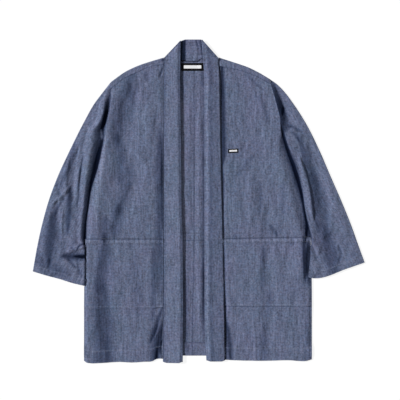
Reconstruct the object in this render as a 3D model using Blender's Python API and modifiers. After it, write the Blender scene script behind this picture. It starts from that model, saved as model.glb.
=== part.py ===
"""Kimono jacket laid flat with its front up and its fronts open, every piece of cloth a thin wall.

Tables are in millimetres in the jacket's own frame: x to the wearer's left, y to the neck, z up from
the surface that it lies on. Each piece is worked out as the outer face of its cloth, and a Solidify
modifier gives the wall inwards.
"""

from collections import namedtuple

import bmesh
import bpy
import numpy as np

MM = 0.001
JACKET = "kimono_jacket"

# Cloth
CLOTH = 1.5
LABEL = 1.0
SEAM = 0.3
TIGHT = 0.6
LOOSE = 3.3
SHOULDER_TURN = 2.3
BAND_TURN = 2.3
NECK_TURN = 2.1
HEM_TURN = 1.8

# Rest heights of the air between the back and what lies on it
FRONT_AIR = 2.1
POCKET_AIR = 1.1
BELOW_POCKET_AIR = 1.7
BAND_AIR = 2.3
SLEEVE_AIR = 2.0

# Long lines of the jacket, and the rows of the pieces that lie over the back's turned-up hem
HEM_BACK_Y = -413.0
OVER_HEM_ROWS = (-365.0, -380.0, -397.0, -415.0)
TURN_UP = 33.0
WAIST_BACK_Y = -104.0
NECK_Y = 375.0
NECK_TOP_Y = 431.0
CENTRE_BACK_X = -13.0
MITRE_INSET = 2.0
FLAT_EDGE = 3.0
CREST_LIFT = 3.1
CREST_AIR = 1.2

Side = namedtuple(
    "Side",
    "sign shoulder forward armhole underarm sleeve cuff body waist pocket_y hem mitre band_end lift",
)

# One row for each side: the shoulder's fold from the neck to the armhole, the forward shoulder seam,
# the armhole down to the waist, the underarm seam on from there, the sleeve's outer fold, the cuff,
# the side seam below the waist, the waist seam, the pocket's lower edge, the hem, the neckband's
# mitre and lower end, and how far the sleeve is lifted over the body's edge.
SIDES = {
    "right": Side(
        sign=-1,
        shoulder=((-94, 384), (-131, 373), (-163, 362), (-195, 347), (-232, 321)),
        forward=((-94, 366), (-125, 361), (-165, 345), (-200, 328), (-230.5, 306)),
        armhole=(
            (-230.5, 306), (-230.5, 282), (-240, 234), (-254, 164), (-271, 98),
            (-290, 30), (-299, -30), (-301, -102),
        ),
        underarm=((-301.6, -102), (-305.3, -165), (-307.2, -226)),
        sleeve=(
            (-232, 321), (-256, 292), (-280, 260), (-307, 212), (-347, 132),
            (-377, 67), (-401, 3), (-419, -61), (-433, -125), (-444, -187),
        ),
        cuff=((-306.5, -226), (-339, -218), (-372, -207.5), (-404, -199), (-444, -187)),
        body=((-301, -102), (-306, -200), (-307, -300), (-307, -432)),
        waist=((-94, -102), (-301, -102)),
        pocket_y=-284.0,
        hem=((-95, -423), (-131, -428), (-211, -429), (-307, -432)),
        mitre=((-93, 383), (-48, 428)),
        band_end=-431.0,
        lift=0.0,
    ),
    "left": Side(
        sign=1,
        shoulder=((53, 384), (91, 372), (136, 356), (160, 344), (177, 334)),
        forward=((55, 361), (95, 353), (130, 343), (160, 330), (183, 317)),
        armhole=(
            (183, 317), (192, 303), (209, 271), (219, 220), (227, 156), (239, 121),
            (252, 89), (267, 46), (278, 3), (289, -48), (299, -97),
        ),
        underarm=((299.4, -97), (299.8, -112), (297.5, -144), (292, -202)),
        sleeve=(
            (177, 334), (195, 324), (229, 292), (253, 260), (284, 212), (324, 132),
            (352, 67), (380, 3), (406, -61), (429, -125), (443, -163),
        ),
        cuff=((292, -202), (303, -204.5), (335, -202), (351, -197), (383, -184), (443, -163)),
        body=((299, -97), (301, -170), (302, -240), (302, -425)),
        waist=((62, -101), (299, -97)),
        pocket_y=-279.0,
        hem=((68, -423), (174, -425), (302, -425)),
        mitre=((52, 383), (12, 426)),
        band_end=-427.0,
        lift=7.0,
    ),
}

# The neckband's edges down each front, a row for each height.
BAND_EDGES = np.array(
    (
        # y, right outer, right inner, left inner, left outer
        (330, -93.0, -51.0, 15.0, 54.0),
        (137, -94.0, -48.0, 15.0, 57.0),
        (-37, -93.5, -47.0, 15.0, 60.5),
        (-318, -95.0, -45.0, 15.5, 66.5),
        (-432, -95.0, -45.0, 20.0, 68.5),
    )
)

# The neckband's underside above the surface: over the back neck, down the back, over the turned-up
# hem, and past it.
BAND_REST = np.array(
    (
        # y, z
        (430, 4.7), (374, 4.7), (345, 3.4), (-345, 3.4), (-374, 4.1), (-414, 4.1), (-432, 2.2),
    )
)

Fold = namedtuple("Fold", "cloth x0 y0 x1 y1 x2 y2 left right rise")

# The largest folds, a row for each: which cloth it is in, its line from end to end by way of a
# middle point, its reach on the left and on the right of that line, and its rise (a trough's is
# negative).
FOLDS = (
    Fold("front", -182, 326, -214, 205, -200, 108, 24, 22, -1.4),
    Fold("front", -187, 60, -209, -21, -254, -92, 22, 22, -1.3),
    Fold("front", -268, -108, -267, -260, -270, -415, 28, 24, -1.0),
    Fold("front", -112, 60, -113, -100, -112, -265, 18, 18, -1.1),
    Fold("front", -94, -280, -108, -345, -124, -392, 15, 15, -1.3),
    Fold("front", -152, 280, -160, 150, -150, 0, 30, 34, 1.1),
    Fold("front", -190, -125, -186, -260, -190, -405, 42, 42, 1.1),
    Fold("front", 170, 40, 168, -190, 172, -412, 30, 30, -1.1),
    Fold("front", 112, 130, 114, -150, 112, -400, 34, 34, 0.9),
    Fold("front", 226, 70, 228, -150, 232, -390, 40, 36, 1.0),
    Fold("front", 128, 344, 160, 322, 184, 294, 15, 15, -1.0),
    Fold("front", 72, 330, 76, 60, 84, -380, 16, 16, -1.2),
    Fold("back", -27, 330, -27, 120, -26, -95, 11, 11, 1.3),
    Fold("back", 3, 320, 3, 90, 4, -95, 10, 10, 1.1),
    Fold("back", -30, -112, -31, -240, -30, -370, 10, 10, 1.0),
    Fold("back", 0, -112, 0, -240, 2, -370, 12, 12, 1.3),
    Fold("sleeve", -320, 190, -344, 20, -374, -115, 15, 15, -1.5),
    Fold("sleeve", -300, 150, -316, 3, -320, -95, 16, 14, 1.4),
    Fold("sleeve", -333, 150, -366, 3, -392, -80, 14, 16, 1.1),
    Fold("sleeve", -398, -60, -404, -110, -400, -160, 20, 20, -1.4),
    Fold("sleeve", -368, -141, -337, -148, -306, -154, 16, 14, -1.8),
    Fold("sleeve", -352, -118, -328, -130, -304, -122, 14, 12, 1.3),
    Fold("sleeve", 258, 230, 313, 3, 337, -182, 20, 20, -1.9),
    Fold("sleeve", 234, 175, 288, 10, 309, -100, 16, 14, 1.4),
    Fold("sleeve", 296, 140, 358, -24, 390, -165, 28, 28, 1.2),
)

Crest = namedtuple("Crest", "body_ramp body_fall sleeve_ramp sleeve_fall")

# How the cloth stands up on either side of each armhole's crease: how far it takes to reach its
# crest, and how far to fall again.
CRESTS = {"right": Crest(11, 46, 26, 34), "left": Crest(22, 44, 12, 34)}

# Columns across a panel and rows along it, as fractions: closer together at the creases.
ACROSS = (0.0, 0.07, 0.18, 0.3, 0.42, 0.54, 0.66, 0.77, 0.86, 0.92, 0.96, 0.985, 1.0)
NECK_COLUMNS = (0.0, 0.035, 0.1, 0.2, 0.3, 0.45, 0.7, 1.0)
BACK_COLUMNS = (0.0, 0.011, 0.028, 0.055, 0.083, 0.13, 0.27, 0.45, 0.63, 0.8, 0.93, 1.0)
SLEEVE_COLUMNS = (0.0, 0.04, 0.1, 0.18, 0.27, 0.36, 0.45, 0.54, 0.63, 0.72, 0.81, 0.9, 1.0)
SLEEVE_UNDER = (12, 9, 6, 3, 2, 1, 0)
BAND_COLUMNS = (0.0, 0.12, 0.35, 0.6, 0.85, 1.0)
BAND_UNDER = (5, 2, 0)
ARM_ROWS = 13
POCKET_ROWS = 6
BELOW_ARM_ROWS = 6
BACK_ROWS = 9
BAND_ROWS = 19
MITRE_ROWS = 4
TURN_STEPS = 4
SLEEVE_START = 0.35

LABEL_TILT = np.radians(3.0)
NECK_LABEL = (-17.0, 359.0, 61.0, 21.0)
CHEST_LABEL = (91.5, 134.6, 27.0, 11.0)

# Colour of each cloth, linear red, green and blue, with its roughness.
CHAMBRAY = (0.105, 0.128, 0.209, 0.9)
CHAMBRAY_INSIDE = (0.112, 0.127, 0.202, 0.9)
TAPE = (0.006, 0.006, 0.008, 0.75)


def ease(t):
    """0 up to t = 0, 1 from t = 1, with a smooth S between."""
    t = np.clip(t, 0.0, 1.0)
    return t * t * (3.0 - 2.0 * t)


def bump(t):
    """1 at t = 0, falling smoothly to 0 at t = 1 and past it."""
    return (1.0 - np.clip(np.abs(t), 0.0, 1.0) ** 2) ** 2


def curve(points, fractions):
    """Points at the given fractions of the length of a smooth curve through a table's points."""
    p = np.array(points, float)
    if len(p) == 2:
        return p[0] + np.asarray(fractions)[:, None] * (p[1] - p[0])
    t = np.concatenate(([0.0], np.cumsum(np.linalg.norm(np.diff(p, axis=0), axis=1))))
    slope = np.gradient(p, t, axis=0)
    fine = np.linspace(0.0, t[-1], 400)
    k = np.clip(np.searchsorted(t, fine, side="right") - 1, 0, len(t) - 2)
    h = (t[k + 1] - t[k])[:, None]
    s = (fine - t[k])[:, None] / h
    way = p[k] * (1 + 2 * s) * (1 - s) ** 2 + p[k + 1] * s * s * (3 - 2 * s)
    way += slope[k] * h * s * (1 - s) ** 2 - slope[k + 1] * h * s * s * (1 - s)
    run = np.concatenate(([0.0], np.cumsum(np.linalg.norm(np.diff(way, axis=0), axis=1))))
    want = np.asarray(fractions) * run[-1]
    return np.stack([np.interp(want, run, way[:, i]) for i in range(2)], axis=1)


def even(count):
    """Fractions from 0 to 1 in equal steps."""
    return np.linspace(0.0, 1.0, count + 1)


def shares(points):
    """Each point's share of the length along a row of points."""
    run = np.concatenate(([0.0], np.cumsum(np.linalg.norm(np.diff(points, axis=0), axis=1))))
    return run / run[-1]


def patch(near, far, start, end):
    """Coons patch: rows from near to far, columns from start to end, between four edges."""
    u = ((shares(near) + shares(far)) / 2)[None, :, None]
    v = ((shares(start) + shares(end)) / 2)[:, None, None]
    rows = near[None] * (1 - v) + far[None] * v
    columns = start[:, None] * (1 - u) + end[:, None] * u
    corners = (near[0] * (1 - u) + near[-1] * u) * (1 - v) + (far[0] * (1 - u) + far[-1] * u) * v
    return rows + columns - corners


def to_line(xy, line):
    """Distance of each place from a line of points, positive on its left, and the share along it."""
    a = line[:-1]
    ab = np.diff(line, axis=0)
    ap = xy[..., None, :] - a
    t = np.clip((ap * ab).sum(-1) / (ab * ab).sum(-1), 0.0, 1.0)
    off = np.linalg.norm(ap - t[..., None] * ab, axis=-1)
    nearest = off.argmin(-1)[..., None]
    side = np.sign(ab[:, 0] * ap[..., 1] - ab[:, 1] * ap[..., 0])
    length = np.linalg.norm(ab, axis=1)
    run = (np.cumsum(length) - length + t * length) / length.sum()
    picked = [np.take_along_axis(m, nearest, -1)[..., 0] for m in (off, side, run)]
    return picked[0] * np.where(picked[1] < 0, -1.0, 1.0), picked[2]


def outwards(points, sign):
    """Unit directions in plan square to a row of points, on its left for sign 1, right for -1."""
    way = np.gradient(points, axis=0)
    way /= np.linalg.norm(way, axis=1)[:, None]
    return np.stack([-way[:, 1], way[:, 0]], axis=1) * sign


def fold_rise(xy, cloth):
    """Sum of the folds of one cloth: each a bump across its line, faded at both ends."""
    total = np.zeros(xy.shape[:-1])
    for fold in FOLDS:
        if fold.cloth != cloth:
            continue
        ends = ((fold.x0, fold.y0), (fold.x1, fold.y1), (fold.x2, fold.y2))
        off, along = to_line(xy, curve(ends, even(12)))
        reach = np.where(off > 0, fold.left, fold.right)
        total += fold.rise * bump(off / reach) * ease(along / 0.15) * ease((1 - along) / 0.15)
    return total


def armhole_points(side):
    """The armhole's stations: the shoulder's fold, the forward seam, and on down to the waist."""
    return np.vstack((side.shoulder[-1], curve(side.armhole, even(ARM_ROWS))))


def crest(xy, name, ramp, fall):
    """How far the cloth stands up beside an armhole, from 0 in the crease to 1 on the crest."""
    off, along = to_line(xy, armhole_points(SIDES[name]))
    off = np.abs(off)
    strength = ease((along - 0.08) / 0.15) * (1 - 0.65 * ease((along - 0.78) / 0.22))
    return strength * ease((off - FLAT_EDGE) / ramp) * (1 - ease((off - FLAT_EDGE - ramp) / fall))


def crease(xy, name):
    """Distance from the armhole's line."""
    return np.abs(to_line(xy, armhole_points(SIDES[name]))[0])


def back_under(xy):
    """Height of the back's outer face: flat on the surface, lifted at the crests and its folds."""
    lift = sum(crest(xy, name, CRESTS[name].body_ramp, CRESTS[name].body_fall) for name in SIDES)
    return CREST_LIFT * lift + np.maximum(fold_rise(xy, "back"), 0.0)


def back_inside(xy):
    """Height of the top of the back, with its turned-up hem, and of the surface past the hem."""
    y = xy[..., 1]
    turned = ease((HEM_BACK_Y + TURN_UP + 14 - y) / 12) * (2 * HEM_TURN - CLOTH)
    past = ease((HEM_BACK_Y - 2 - y) / 12)
    return (back_under(xy) + CLOTH + turned) * (1 - past)


def front_outer(xy, name):
    """Height of a front's outer face: the back's, the air between, and the wall."""
    side = SIDES[name]
    y = xy[..., 1]
    pocketed = ease((side.waist[0][1] + 4 - y) / 10)
    below = ease((side.pocket_y - y) / 25)
    rest = FRONT_AIR + (POCKET_AIR - FRONT_AIR) * pocketed
    rest = rest + (BELOW_POCKET_AIR - POCKET_AIR) * below * pocketed
    stand = crest(xy, name, CRESTS[name].body_ramp, CRESTS[name].body_fall)
    air = np.clip(rest + fold_rise(xy, "front") + CREST_AIR * stand, TIGHT, LOOSE)
    seam_off = np.abs(to_line(xy, curve(side.forward, even(12)))[0])
    shoulder_air = 2 * SHOULDER_TURN - 2 * CLOTH
    air = shoulder_air + (air - shoulder_air) * ease((seam_off - 2) / 26)
    edge = np.abs(to_line(xy, np.array(side.body, float))[0])
    air = TIGHT + (air - TIGHT) * ease(crease(xy, name) / 9) * ease((edge - 9) / 16)
    return back_inside(xy) + air + CLOTH


def sleeve_heights(xy, name):
    """Heights of the outer faces of a sleeve's under side and upper side."""
    side = SIDES[name]
    stand = crest(xy, name, CRESTS[name].sleeve_ramp, CRESTS[name].sleeve_fall)
    folded = np.abs(to_line(xy, curve(side.sleeve, even(30)))[0]) - SHOULDER_TURN
    body = to_line(xy, np.array(side.body, float))[0] * side.sign
    over = side.lift * ease((12 - body) / 9) * ease((side.body[0][1] + 2 - xy[..., 1]) / 12)
    under = CREST_LIFT * stand + over
    air = np.clip(SLEEVE_AIR + fold_rise(xy, "sleeve") + CREST_AIR * stand, TIGHT, LOOSE)
    outer_air = 2 * SHOULDER_TURN - 2 * CLOTH
    air = outer_air + (air - outer_air) * ease(folded / 18)
    under = under * ease(folded / 18)
    under_arm = np.abs(to_line(xy, np.array(side.underarm, float))[0])
    inner = np.minimum(crease(xy, name), under_arm)
    air = TIGHT + (air - TIGHT) * ease(inner / 10)
    return under, under + air + 2 * CLOTH


def raised(xy, z):
    """Places in plan with their heights."""
    return np.concatenate((xy, np.broadcast_to(z, xy.shape[:-1])[..., None]), axis=-1)


def turned(centre, out, radius, rest=0.0):
    """Rows of a hairpin turn, from the under side up: a half circle about each centre."""
    angles = np.radians(np.linspace(-90.0, 90.0, TURN_STEPS + 1))
    rows = []
    for angle in angles:
        rows.append(raised(centre + out * radius * np.cos(angle), rest + radius + radius * np.sin(angle)))
    return np.stack(rows)


def cloth_material(name, colour):
    """Principled material of one piece."""
    material = bpy.data.materials.new(name)
    material.use_nodes = True
    shader = material.node_tree.nodes["Principled BSDF"]
    shader.inputs["Base Color"].default_value = (*colour[:3], 1.0)
    shader.inputs["Roughness"].default_value = colour[3]
    shader.inputs["Metallic"].default_value = 0.0
    material.diffuse_color = (*colour[:3], 1.0)
    return material


def sheet(name, points, facing, colour, wall=CLOTH, keep=None):
    """One piece of cloth: a grid moved to its points, with a wall inwards from its outer face.

    points has a row of places for each row of the grid, facing says whether its first face looks
    up or down, and keep marks the points that the piece has.
    """
    rows, columns = points.shape[:2]
    mesh = bmesh.new()
    bmesh.ops.create_grid(mesh, x_segments=columns - 1, y_segments=rows - 1, size=1.0)
    dropped = []
    for vert in mesh.verts:
        i = round((vert.co.x + 1) / 2 * (columns - 1))
        j = round((vert.co.y + 1) / 2 * (rows - 1))
        vert.co = points[j, i] * MM
        if keep is not None and not keep[j, i]:
            dropped.append(vert)
    bmesh.ops.delete(mesh, geom=dropped, context="VERTS")
    mesh.normal_update()
    mesh.faces.ensure_lookup_table()
    if mesh.faces[0].normal.z * facing < 0:
        bmesh.ops.reverse_faces(mesh, faces=mesh.faces)
    data = bpy.data.meshes.new(name)
    mesh.to_mesh(data)
    mesh.free()
    data.shade_smooth()
    data.materials.append(cloth_material(name, colour))
    piece = bpy.data.objects.new(name, data)
    bpy.data.collections[JACKET].objects.link(piece)
    solid = piece.modifiers.new("cloth wall", "SOLIDIFY")
    solid.thickness = wall * MM
    solid.offset = -1.0
    solid.use_even_offset = True
    return piece


def band_x(y, name, edge):
    """Where the neckband's inner or outer edge lies at a height down the front."""
    column = {"right": {"outer": 1, "inner": 2}, "left": {"inner": 3, "outer": 4}}[name][edge]
    return np.interp(y, BAND_EDGES[::-1, 0], BAND_EDGES[::-1, column])


def front_edge(ys, name):
    """A front's edge beside the neckband."""
    return np.stack([band_x(ys, name, "outer") + SIDES[name].sign * (SEAM + 0.1), ys], axis=1)


def centre_back(ys, gap):
    """The centre-back seam: straight to the waist, then drifting a little to the wearer's right."""
    return np.stack([CENTRE_BACK_X + gap - 5.0 * ease((WAIST_BACK_Y - ys) / 275), ys], axis=1)


def neck_line(side):
    """The back neck's edge from the centre seam to the shoulder: level, then up to the shoulder."""
    start = CENTRE_BACK_X + side.sign * SEAM / 2
    fold = curve(side.shoulder, ACROSS)
    shoulder = (fold - outwards(fold, side.sign) * SHOULDER_TURN)[0]
    x = start + (shoulder[0] - start) * np.array(NECK_COLUMNS)
    rise = ease((np.abs(x - CENTRE_BACK_X) - 38) / (abs(shoulder[0] - CENTRE_BACK_X) - 38))
    return np.stack([x, NECK_Y + rise * (shoulder[1] - NECK_Y)], axis=1)


def side_line(side, ys):
    """The side seam below the waist."""
    body = np.array(side.body, float)[::-1]
    return np.stack([np.interp(ys, body[:, 1], body[:, 0]), ys], axis=1)


def make_back_upper(name):
    """Back above the waist: flat from the waist, round the shoulder's fold to the forward seam."""
    side = SIDES[name]
    fold = curve(side.shoulder, ACROSS)
    out = outwards(fold, side.sign)
    centre = fold - out * SHOULDER_TURN
    neck = neck_line(side)[:-1]
    far = np.vstack((neck, centre))
    arm = armhole_points(side)[::-1]
    arm[0, 1] += SEAM / 2
    arm[-1] = centre[-1]
    start = np.array((neck[0, 0], WAIST_BACK_Y + SEAM / 2))
    near = start + shares(far)[:, None] * (arm[0] - start)
    middle = centre_back(start[1] + (NECK_Y - start[1]) * shares(arm), side.sign * SEAM / 2)
    plan = patch(near, far, middle, arm)
    flat = raised(plan, back_under(plan))
    flat[-1, len(neck):, 2] = 0.0
    turn = turned(centre, out, SHOULDER_TURN)[1:]
    seam = curve(side.forward, ACROSS)
    seam += (fold - seam) / np.linalg.norm(fold - seam, axis=1)[:, None] * SEAM
    wrap = [raised(centre + (seam - centre) * t, 2 * SHOULDER_TURN) for t in (0.5, 1.0)]
    over = np.concatenate((turn, np.stack(wrap)))
    blank = np.broadcast_to(raised(neck, 0.0), (len(over), len(neck), 3))
    points = np.concatenate((flat, np.concatenate((blank, over), axis=1)))
    keep = np.ones(points.shape[:2], bool)
    keep[len(flat):, :len(neck)] = False
    sheet(f"back_upper_{name}", points, -1, CHAMBRAY_INSIDE, keep=keep)


def make_back_lower(name):
    """Back below the waist: flat to the hem, round it, and turned up inside."""
    side = SIDES[name]
    top, bottom = WAIST_BACK_Y - SEAM / 2, HEM_BACK_Y + HEM_TURN
    rows = even(BACK_ROWS)
    middle = centre_back(top + (bottom - top) * rows, side.sign * SEAM / 2)
    side_top = side.body[0][1] - SEAM / 2
    edge = side_line(side, side_top + (bottom - side_top) * rows)
    columns = np.array(BACK_COLUMNS)[:, None]
    near = middle[0] + (edge[0] - middle[0]) * columns
    far = middle[-1] + (edge[-1] - middle[-1]) * columns
    plan = patch(near, far, middle, edge)
    flat = raised(plan, back_under(plan))
    flat[-1, :, 2] = 0.0
    turn = turned(far, np.array((0.0, -1.0)), HEM_TURN)[1:]
    up = np.array((0.0, TURN_UP - HEM_TURN))
    turn_up = [raised(far + up * t, 2 * HEM_TURN) for t in (0.5, 1.0)]
    points = np.concatenate((flat, turn, np.stack(turn_up)))
    sheet(f"back_lower_{name}", points, -1, CHAMBRAY_INSIDE)


def make_front_upper(name):
    """Front above the waist: from the neckband to the armhole, up to the forward shoulder seam."""
    side = SIDES[name]
    arm = armhole_points(side)[:0:-1]
    arm[0, 1] += SEAM / 2
    far = curve(side.forward, ACROSS)
    near = curve(side.waist, ACROSS) + (0.0, SEAM / 2)
    band = front_edge(near[0, 1] + (far[0, 1] - near[0, 1]) * shares(arm), name)
    near[0], far[0] = band[0], band[-1]
    near[-1], far[-1] = arm[0], arm[-1]
    plan = patch(near, far, band, arm)
    outer = raised(plan, front_outer(plan, name))
    sheet(f"front_upper_{name}", outer, 1, CHAMBRAY)
    return outer


def lower_plan(name):
    """Places of a lower front and of the pocket on it, in rows from the waist to the hem."""
    side = SIDES[name]
    near = curve(side.waist, ACROSS) - (0.0, SEAM / 2)
    far = curve(side.hem, ACROSS)

    def rows(top, bottom):
        pocket = top + (side.pocket_y - top) * even(POCKET_ROWS)
        below = side.pocket_y + (OVER_HEM_ROWS[0] - side.pocket_y) * np.array((0.33, 0.67))
        return np.concatenate((pocket, below, OVER_HEM_ROWS, (bottom,)))

    band = front_edge(rows(near[0, 1], far[0, 1]), name)
    edge = side_line(side, rows(near[-1, 1], far[-1, 1]))
    near[0], far[0] = band[0], band[-1]
    near[-1], far[-1] = edge[0], edge[-1]
    return patch(near, far, band, edge)


def make_front_lower(name):
    """Front below the waist, with its patch pocket moved out from the pocket's part of it."""
    plan = lower_plan(name)
    outer = raised(plan, front_outer(plan, name))
    sheet(f"front_lower_{name}", outer, 1, CHAMBRAY)
    pocket = outer[:POCKET_ROWS + 1] + (0.0, 0.0, CLOTH + SEAM + 0.1)
    sheet(f"pocket_{name}", pocket, 1, CHAMBRAY)


def make_sleeve(name):
    """Sleeve: one cloth from the armhole's front over to its outer fold and back underneath."""
    side = SIDES[name]
    arm = armhole_points(side)
    begin = arm[0] + (arm[1] - arm[0]) * SLEEVE_START
    below = curve(side.underarm, even(BELOW_ARM_ROWS))[1:]
    arm = arm + outwards(arm, side.sign) * SEAM
    inner = np.vstack((begin + outwards(arm[:2], side.sign)[0] * SEAM, arm[1:], below))
    way = shares(np.vstack((side.shoulder[-1], inner)))[1:]
    fold = curve(side.sleeve, way)
    out = outwards(fold, side.sign)
    centre = fold - out * SHOULDER_TURN
    columns = np.array(SLEEVE_COLUMNS)[:, None]
    near = inner[0] + (centre[0] - inner[0]) * columns
    far = curve(side.cuff, SLEEVE_COLUMNS)
    far = far + (inner[-1] - far[0]) * (1 - columns) + (centre[-1] - far[-1]) * columns
    plan = patch(near, far, inner, centre)
    under, over = sleeve_heights(plan, name)
    upper = raised(plan, over)
    lower = raised(plan, under)[:, SLEEVE_UNDER]
    turn = np.swapaxes(turned(centre, out, SHOULDER_TURN)[-2:0:-1], 0, 1)
    sheet(f"sleeve_{name}", np.concatenate((upper, turn, lower), axis=1), 1, CHAMBRAY)


def make_neckband(name):
    """One front strip of the neckband, folded double, from its lower end up to the mitre."""
    side = SIDES[name]
    ys = OVER_HEM_ROWS[0] + (BAND_EDGES[0, 0] - OVER_HEM_ROWS[0]) * even(BAND_ROWS)
    ys = np.concatenate(((side.band_end,), OVER_HEM_ROWS[:0:-1], ys))
    outer = np.stack([band_x(ys, name, "outer"), ys], axis=1)
    inner = np.stack([band_x(ys, name, "inner"), ys], axis=1)
    rise = even(MITRE_ROWS)[1:, None]
    outer = np.vstack((outer, outer[-1] + (np.array(side.mitre[0]) - outer[-1]) * rise))
    inner = np.vstack((inner, inner[-1] + (np.array(side.mitre[1]) - inner[-1]) * rise))
    out = np.broadcast_to((-side.sign, 0.0), inner.shape)
    centre = inner - out * BAND_TURN
    columns = np.array(BAND_COLUMNS)
    plan = outer[:, None] * (1 - columns[:, None]) + centre[:, None] * columns[:, None]
    rest = np.interp(plan[..., 1], BAND_REST[::-1, 0], BAND_REST[::-1, 1])
    fold_air = 2 * BAND_TURN - 2 * CLOTH
    air = TIGHT + (BAND_AIR - TIGHT) * ease(columns / 0.35) + (fold_air - BAND_AIR) * ease(columns * 2 - 1)
    mitre_off = np.abs(to_line(plan, np.array(side.mitre, float))[0])
    air = TIGHT + (air - TIGHT) * np.maximum(ease(mitre_off / 12), columns == 1.0)
    upper = raised(plan, rest + air + 2 * CLOTH)
    lower = raised(plan, rest)[:, BAND_UNDER]
    fold_rest = rest[:, -1]
    turn = np.stack([turned(centre[i], out[i], BAND_TURN, fold_rest[i]) for i in range(len(centre))])
    turn = turn[:, -2:0:-1]
    sheet(f"neckband_{name}", np.concatenate((upper, turn, lower), axis=1), 1, CHAMBRAY)


def make_neckband_back():
    """The neckband's stretch behind the neck, folded double with its fold at the top."""
    right, left = SIDES["right"], SIDES["left"]
    seam = np.vstack((neck_line(right)[::-1], neck_line(left)[1:]))
    near = np.clip(seam[:, 0], right.mitre[0][0] + MITRE_INSET, left.mitre[0][0] - MITRE_INSET)
    near = np.stack([near, np.interp(near, seam[:, 0], seam[:, 1]) + 1.5 * SEAM], axis=1)
    share = (near[:, 0] - near[0, 0]) / (near[-1, 0] - near[0, 0])
    ends = right.mitre[1][0] + MITRE_INSET, left.mitre[1][0] - MITRE_INSET
    top_y = NECK_TOP_Y - NECK_TURN - 3.0 * (2 * share - 1) ** 4
    top = np.stack([ends[0] + (ends[1] - ends[0]) * share, top_y], axis=1)
    depth = np.array((0.0, 0.3, 0.65, 1.0))[:, None, None]
    plan = near * (1 - depth) + top * depth
    upper = raised(plan, 2 * NECK_TURN)
    lower = raised(plan, 0.0)[::-1]
    turn = turned(top, np.array((0.0, 1.0)), NECK_TURN)[-2:0:-1]
    sheet("neckband_back", np.concatenate((upper, turn, lower)), 1, CHAMBRAY_INSIDE)


def lying_on(panel, xy):
    """Height of a panel's faces under each place, the higher of the two ways to halve a cell."""
    a, b, c, d = panel[:-1, :-1], panel[:-1, 1:], panel[1:, 1:], panel[1:, :-1]
    halves = ((a, b, c), (a, c, d), (a, b, d), (b, c, d))
    corners = np.concatenate([np.stack(half, axis=-2).reshape(-1, 3, 3) for half in halves])
    first = corners[:, 0]
    e, f = corners[:, 1] - first, corners[:, 2] - first
    off = xy[..., None, :] - first[:, :2]
    area = e[:, 0] * f[:, 1] - e[:, 1] * f[:, 0]
    s = (off[..., 0] * f[:, 1] - off[..., 1] * f[:, 0]) / area
    t = (e[:, 0] * off[..., 1] - e[:, 1] * off[..., 0]) / area
    inside = (s >= 0) & (t >= 0) & (s + t <= 1)
    return np.where(inside, first[:, 2] + s * e[:, 2] + t * f[:, 2], -np.inf).max(-1)


def make_label(name, place, host, tilt=0.0):
    """A woven label: a small sheet on its host's points, moved out, turned by its tilt."""
    x, y, width, height = place
    across = (even(6) - 0.5)[None, :] * width
    down = (even(2) - 0.5)[:, None] * height
    turned_x = x + across * np.cos(tilt) - down * np.sin(tilt)
    turned_y = y + across * np.sin(tilt) + down * np.cos(tilt)
    plan = np.stack([turned_x, turned_y], axis=-1)
    sheet(name, raised(plan, host(plan) + SEAM + LABEL), 1, TAPE, wall=LABEL)


def main():
    """Clear the scene and build every piece of the jacket."""
    for old in list(bpy.data.objects):
        bpy.data.objects.remove(old)
    jacket = bpy.data.collections.new(JACKET)
    bpy.context.scene.collection.children.link(jacket)
    fronts = {}
    for name in SIDES:
        make_back_upper(name)
        make_back_lower(name)
        fronts[name] = make_front_upper(name)
        make_front_lower(name)
        make_sleeve(name)
        make_neckband(name)
    make_neckband_back()
    make_label("neck_label", NECK_LABEL, back_inside)
    make_label("chest_label", CHEST_LABEL, lambda plan: lying_on(fronts["left"], plan), LABEL_TILT)


main()
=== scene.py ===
"""Kimono jacket in indigo chambray, laid flat with its front up and its fronts open.

Each piece of cloth is a thin shell on a grid: a plan worked out from the jacket's cut, and a height
above the surface that it lies on, worked out from tables of its folds, seams and edges. Tables are
in millimetres in the jacket's own frame: x to the wearer's left, y to the neck, z up.
"""

from collections import namedtuple
from functools import partial

import bpy
import numpy as np
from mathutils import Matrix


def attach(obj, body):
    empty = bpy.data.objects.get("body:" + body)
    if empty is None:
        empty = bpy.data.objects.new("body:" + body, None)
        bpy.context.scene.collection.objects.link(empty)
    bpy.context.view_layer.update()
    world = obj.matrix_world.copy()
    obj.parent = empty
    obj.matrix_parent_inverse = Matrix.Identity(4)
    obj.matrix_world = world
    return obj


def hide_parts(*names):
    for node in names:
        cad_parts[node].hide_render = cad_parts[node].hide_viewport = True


bl_info = {
    "name": "Kimono jacket, laid flat",
    "version": (1, 0, 0),
    "blender": (4, 5, 0),
    "location": "View3D > Sidebar > Jacket",
    "description": "Makes the cloth, stitching, labels and stage of a chambray kimono jacket",
    "category": "Object",
}

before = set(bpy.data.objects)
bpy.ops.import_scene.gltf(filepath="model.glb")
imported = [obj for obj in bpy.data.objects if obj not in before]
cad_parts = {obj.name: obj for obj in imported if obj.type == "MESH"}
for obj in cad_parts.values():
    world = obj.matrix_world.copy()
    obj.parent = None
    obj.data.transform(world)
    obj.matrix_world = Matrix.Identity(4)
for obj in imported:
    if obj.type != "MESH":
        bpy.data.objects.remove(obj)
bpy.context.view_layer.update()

MM = 0.001
BODY = "root"

# Cloth, in millimetres: its thickness, how tightly it turns at a hem and at a fold, how far two cloths
# overlap at a seam (as a gap below 0), and the even steps of a fine and of a coarse grid
SHELL = 0.7
HEM_RADIUS = 0.85
FOLD_RADIUS = 2.2
SEAM = -0.4
STEP = 3.0
COARSE = 4.0

# How deep each hem is turned in
BACK_HEM = 33.0
FRONT_HEM = 33.0
CUFF_HEM = 16.0
MOUTH_HEM = 10.0
BAND_END_HEM = 9.0

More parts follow.
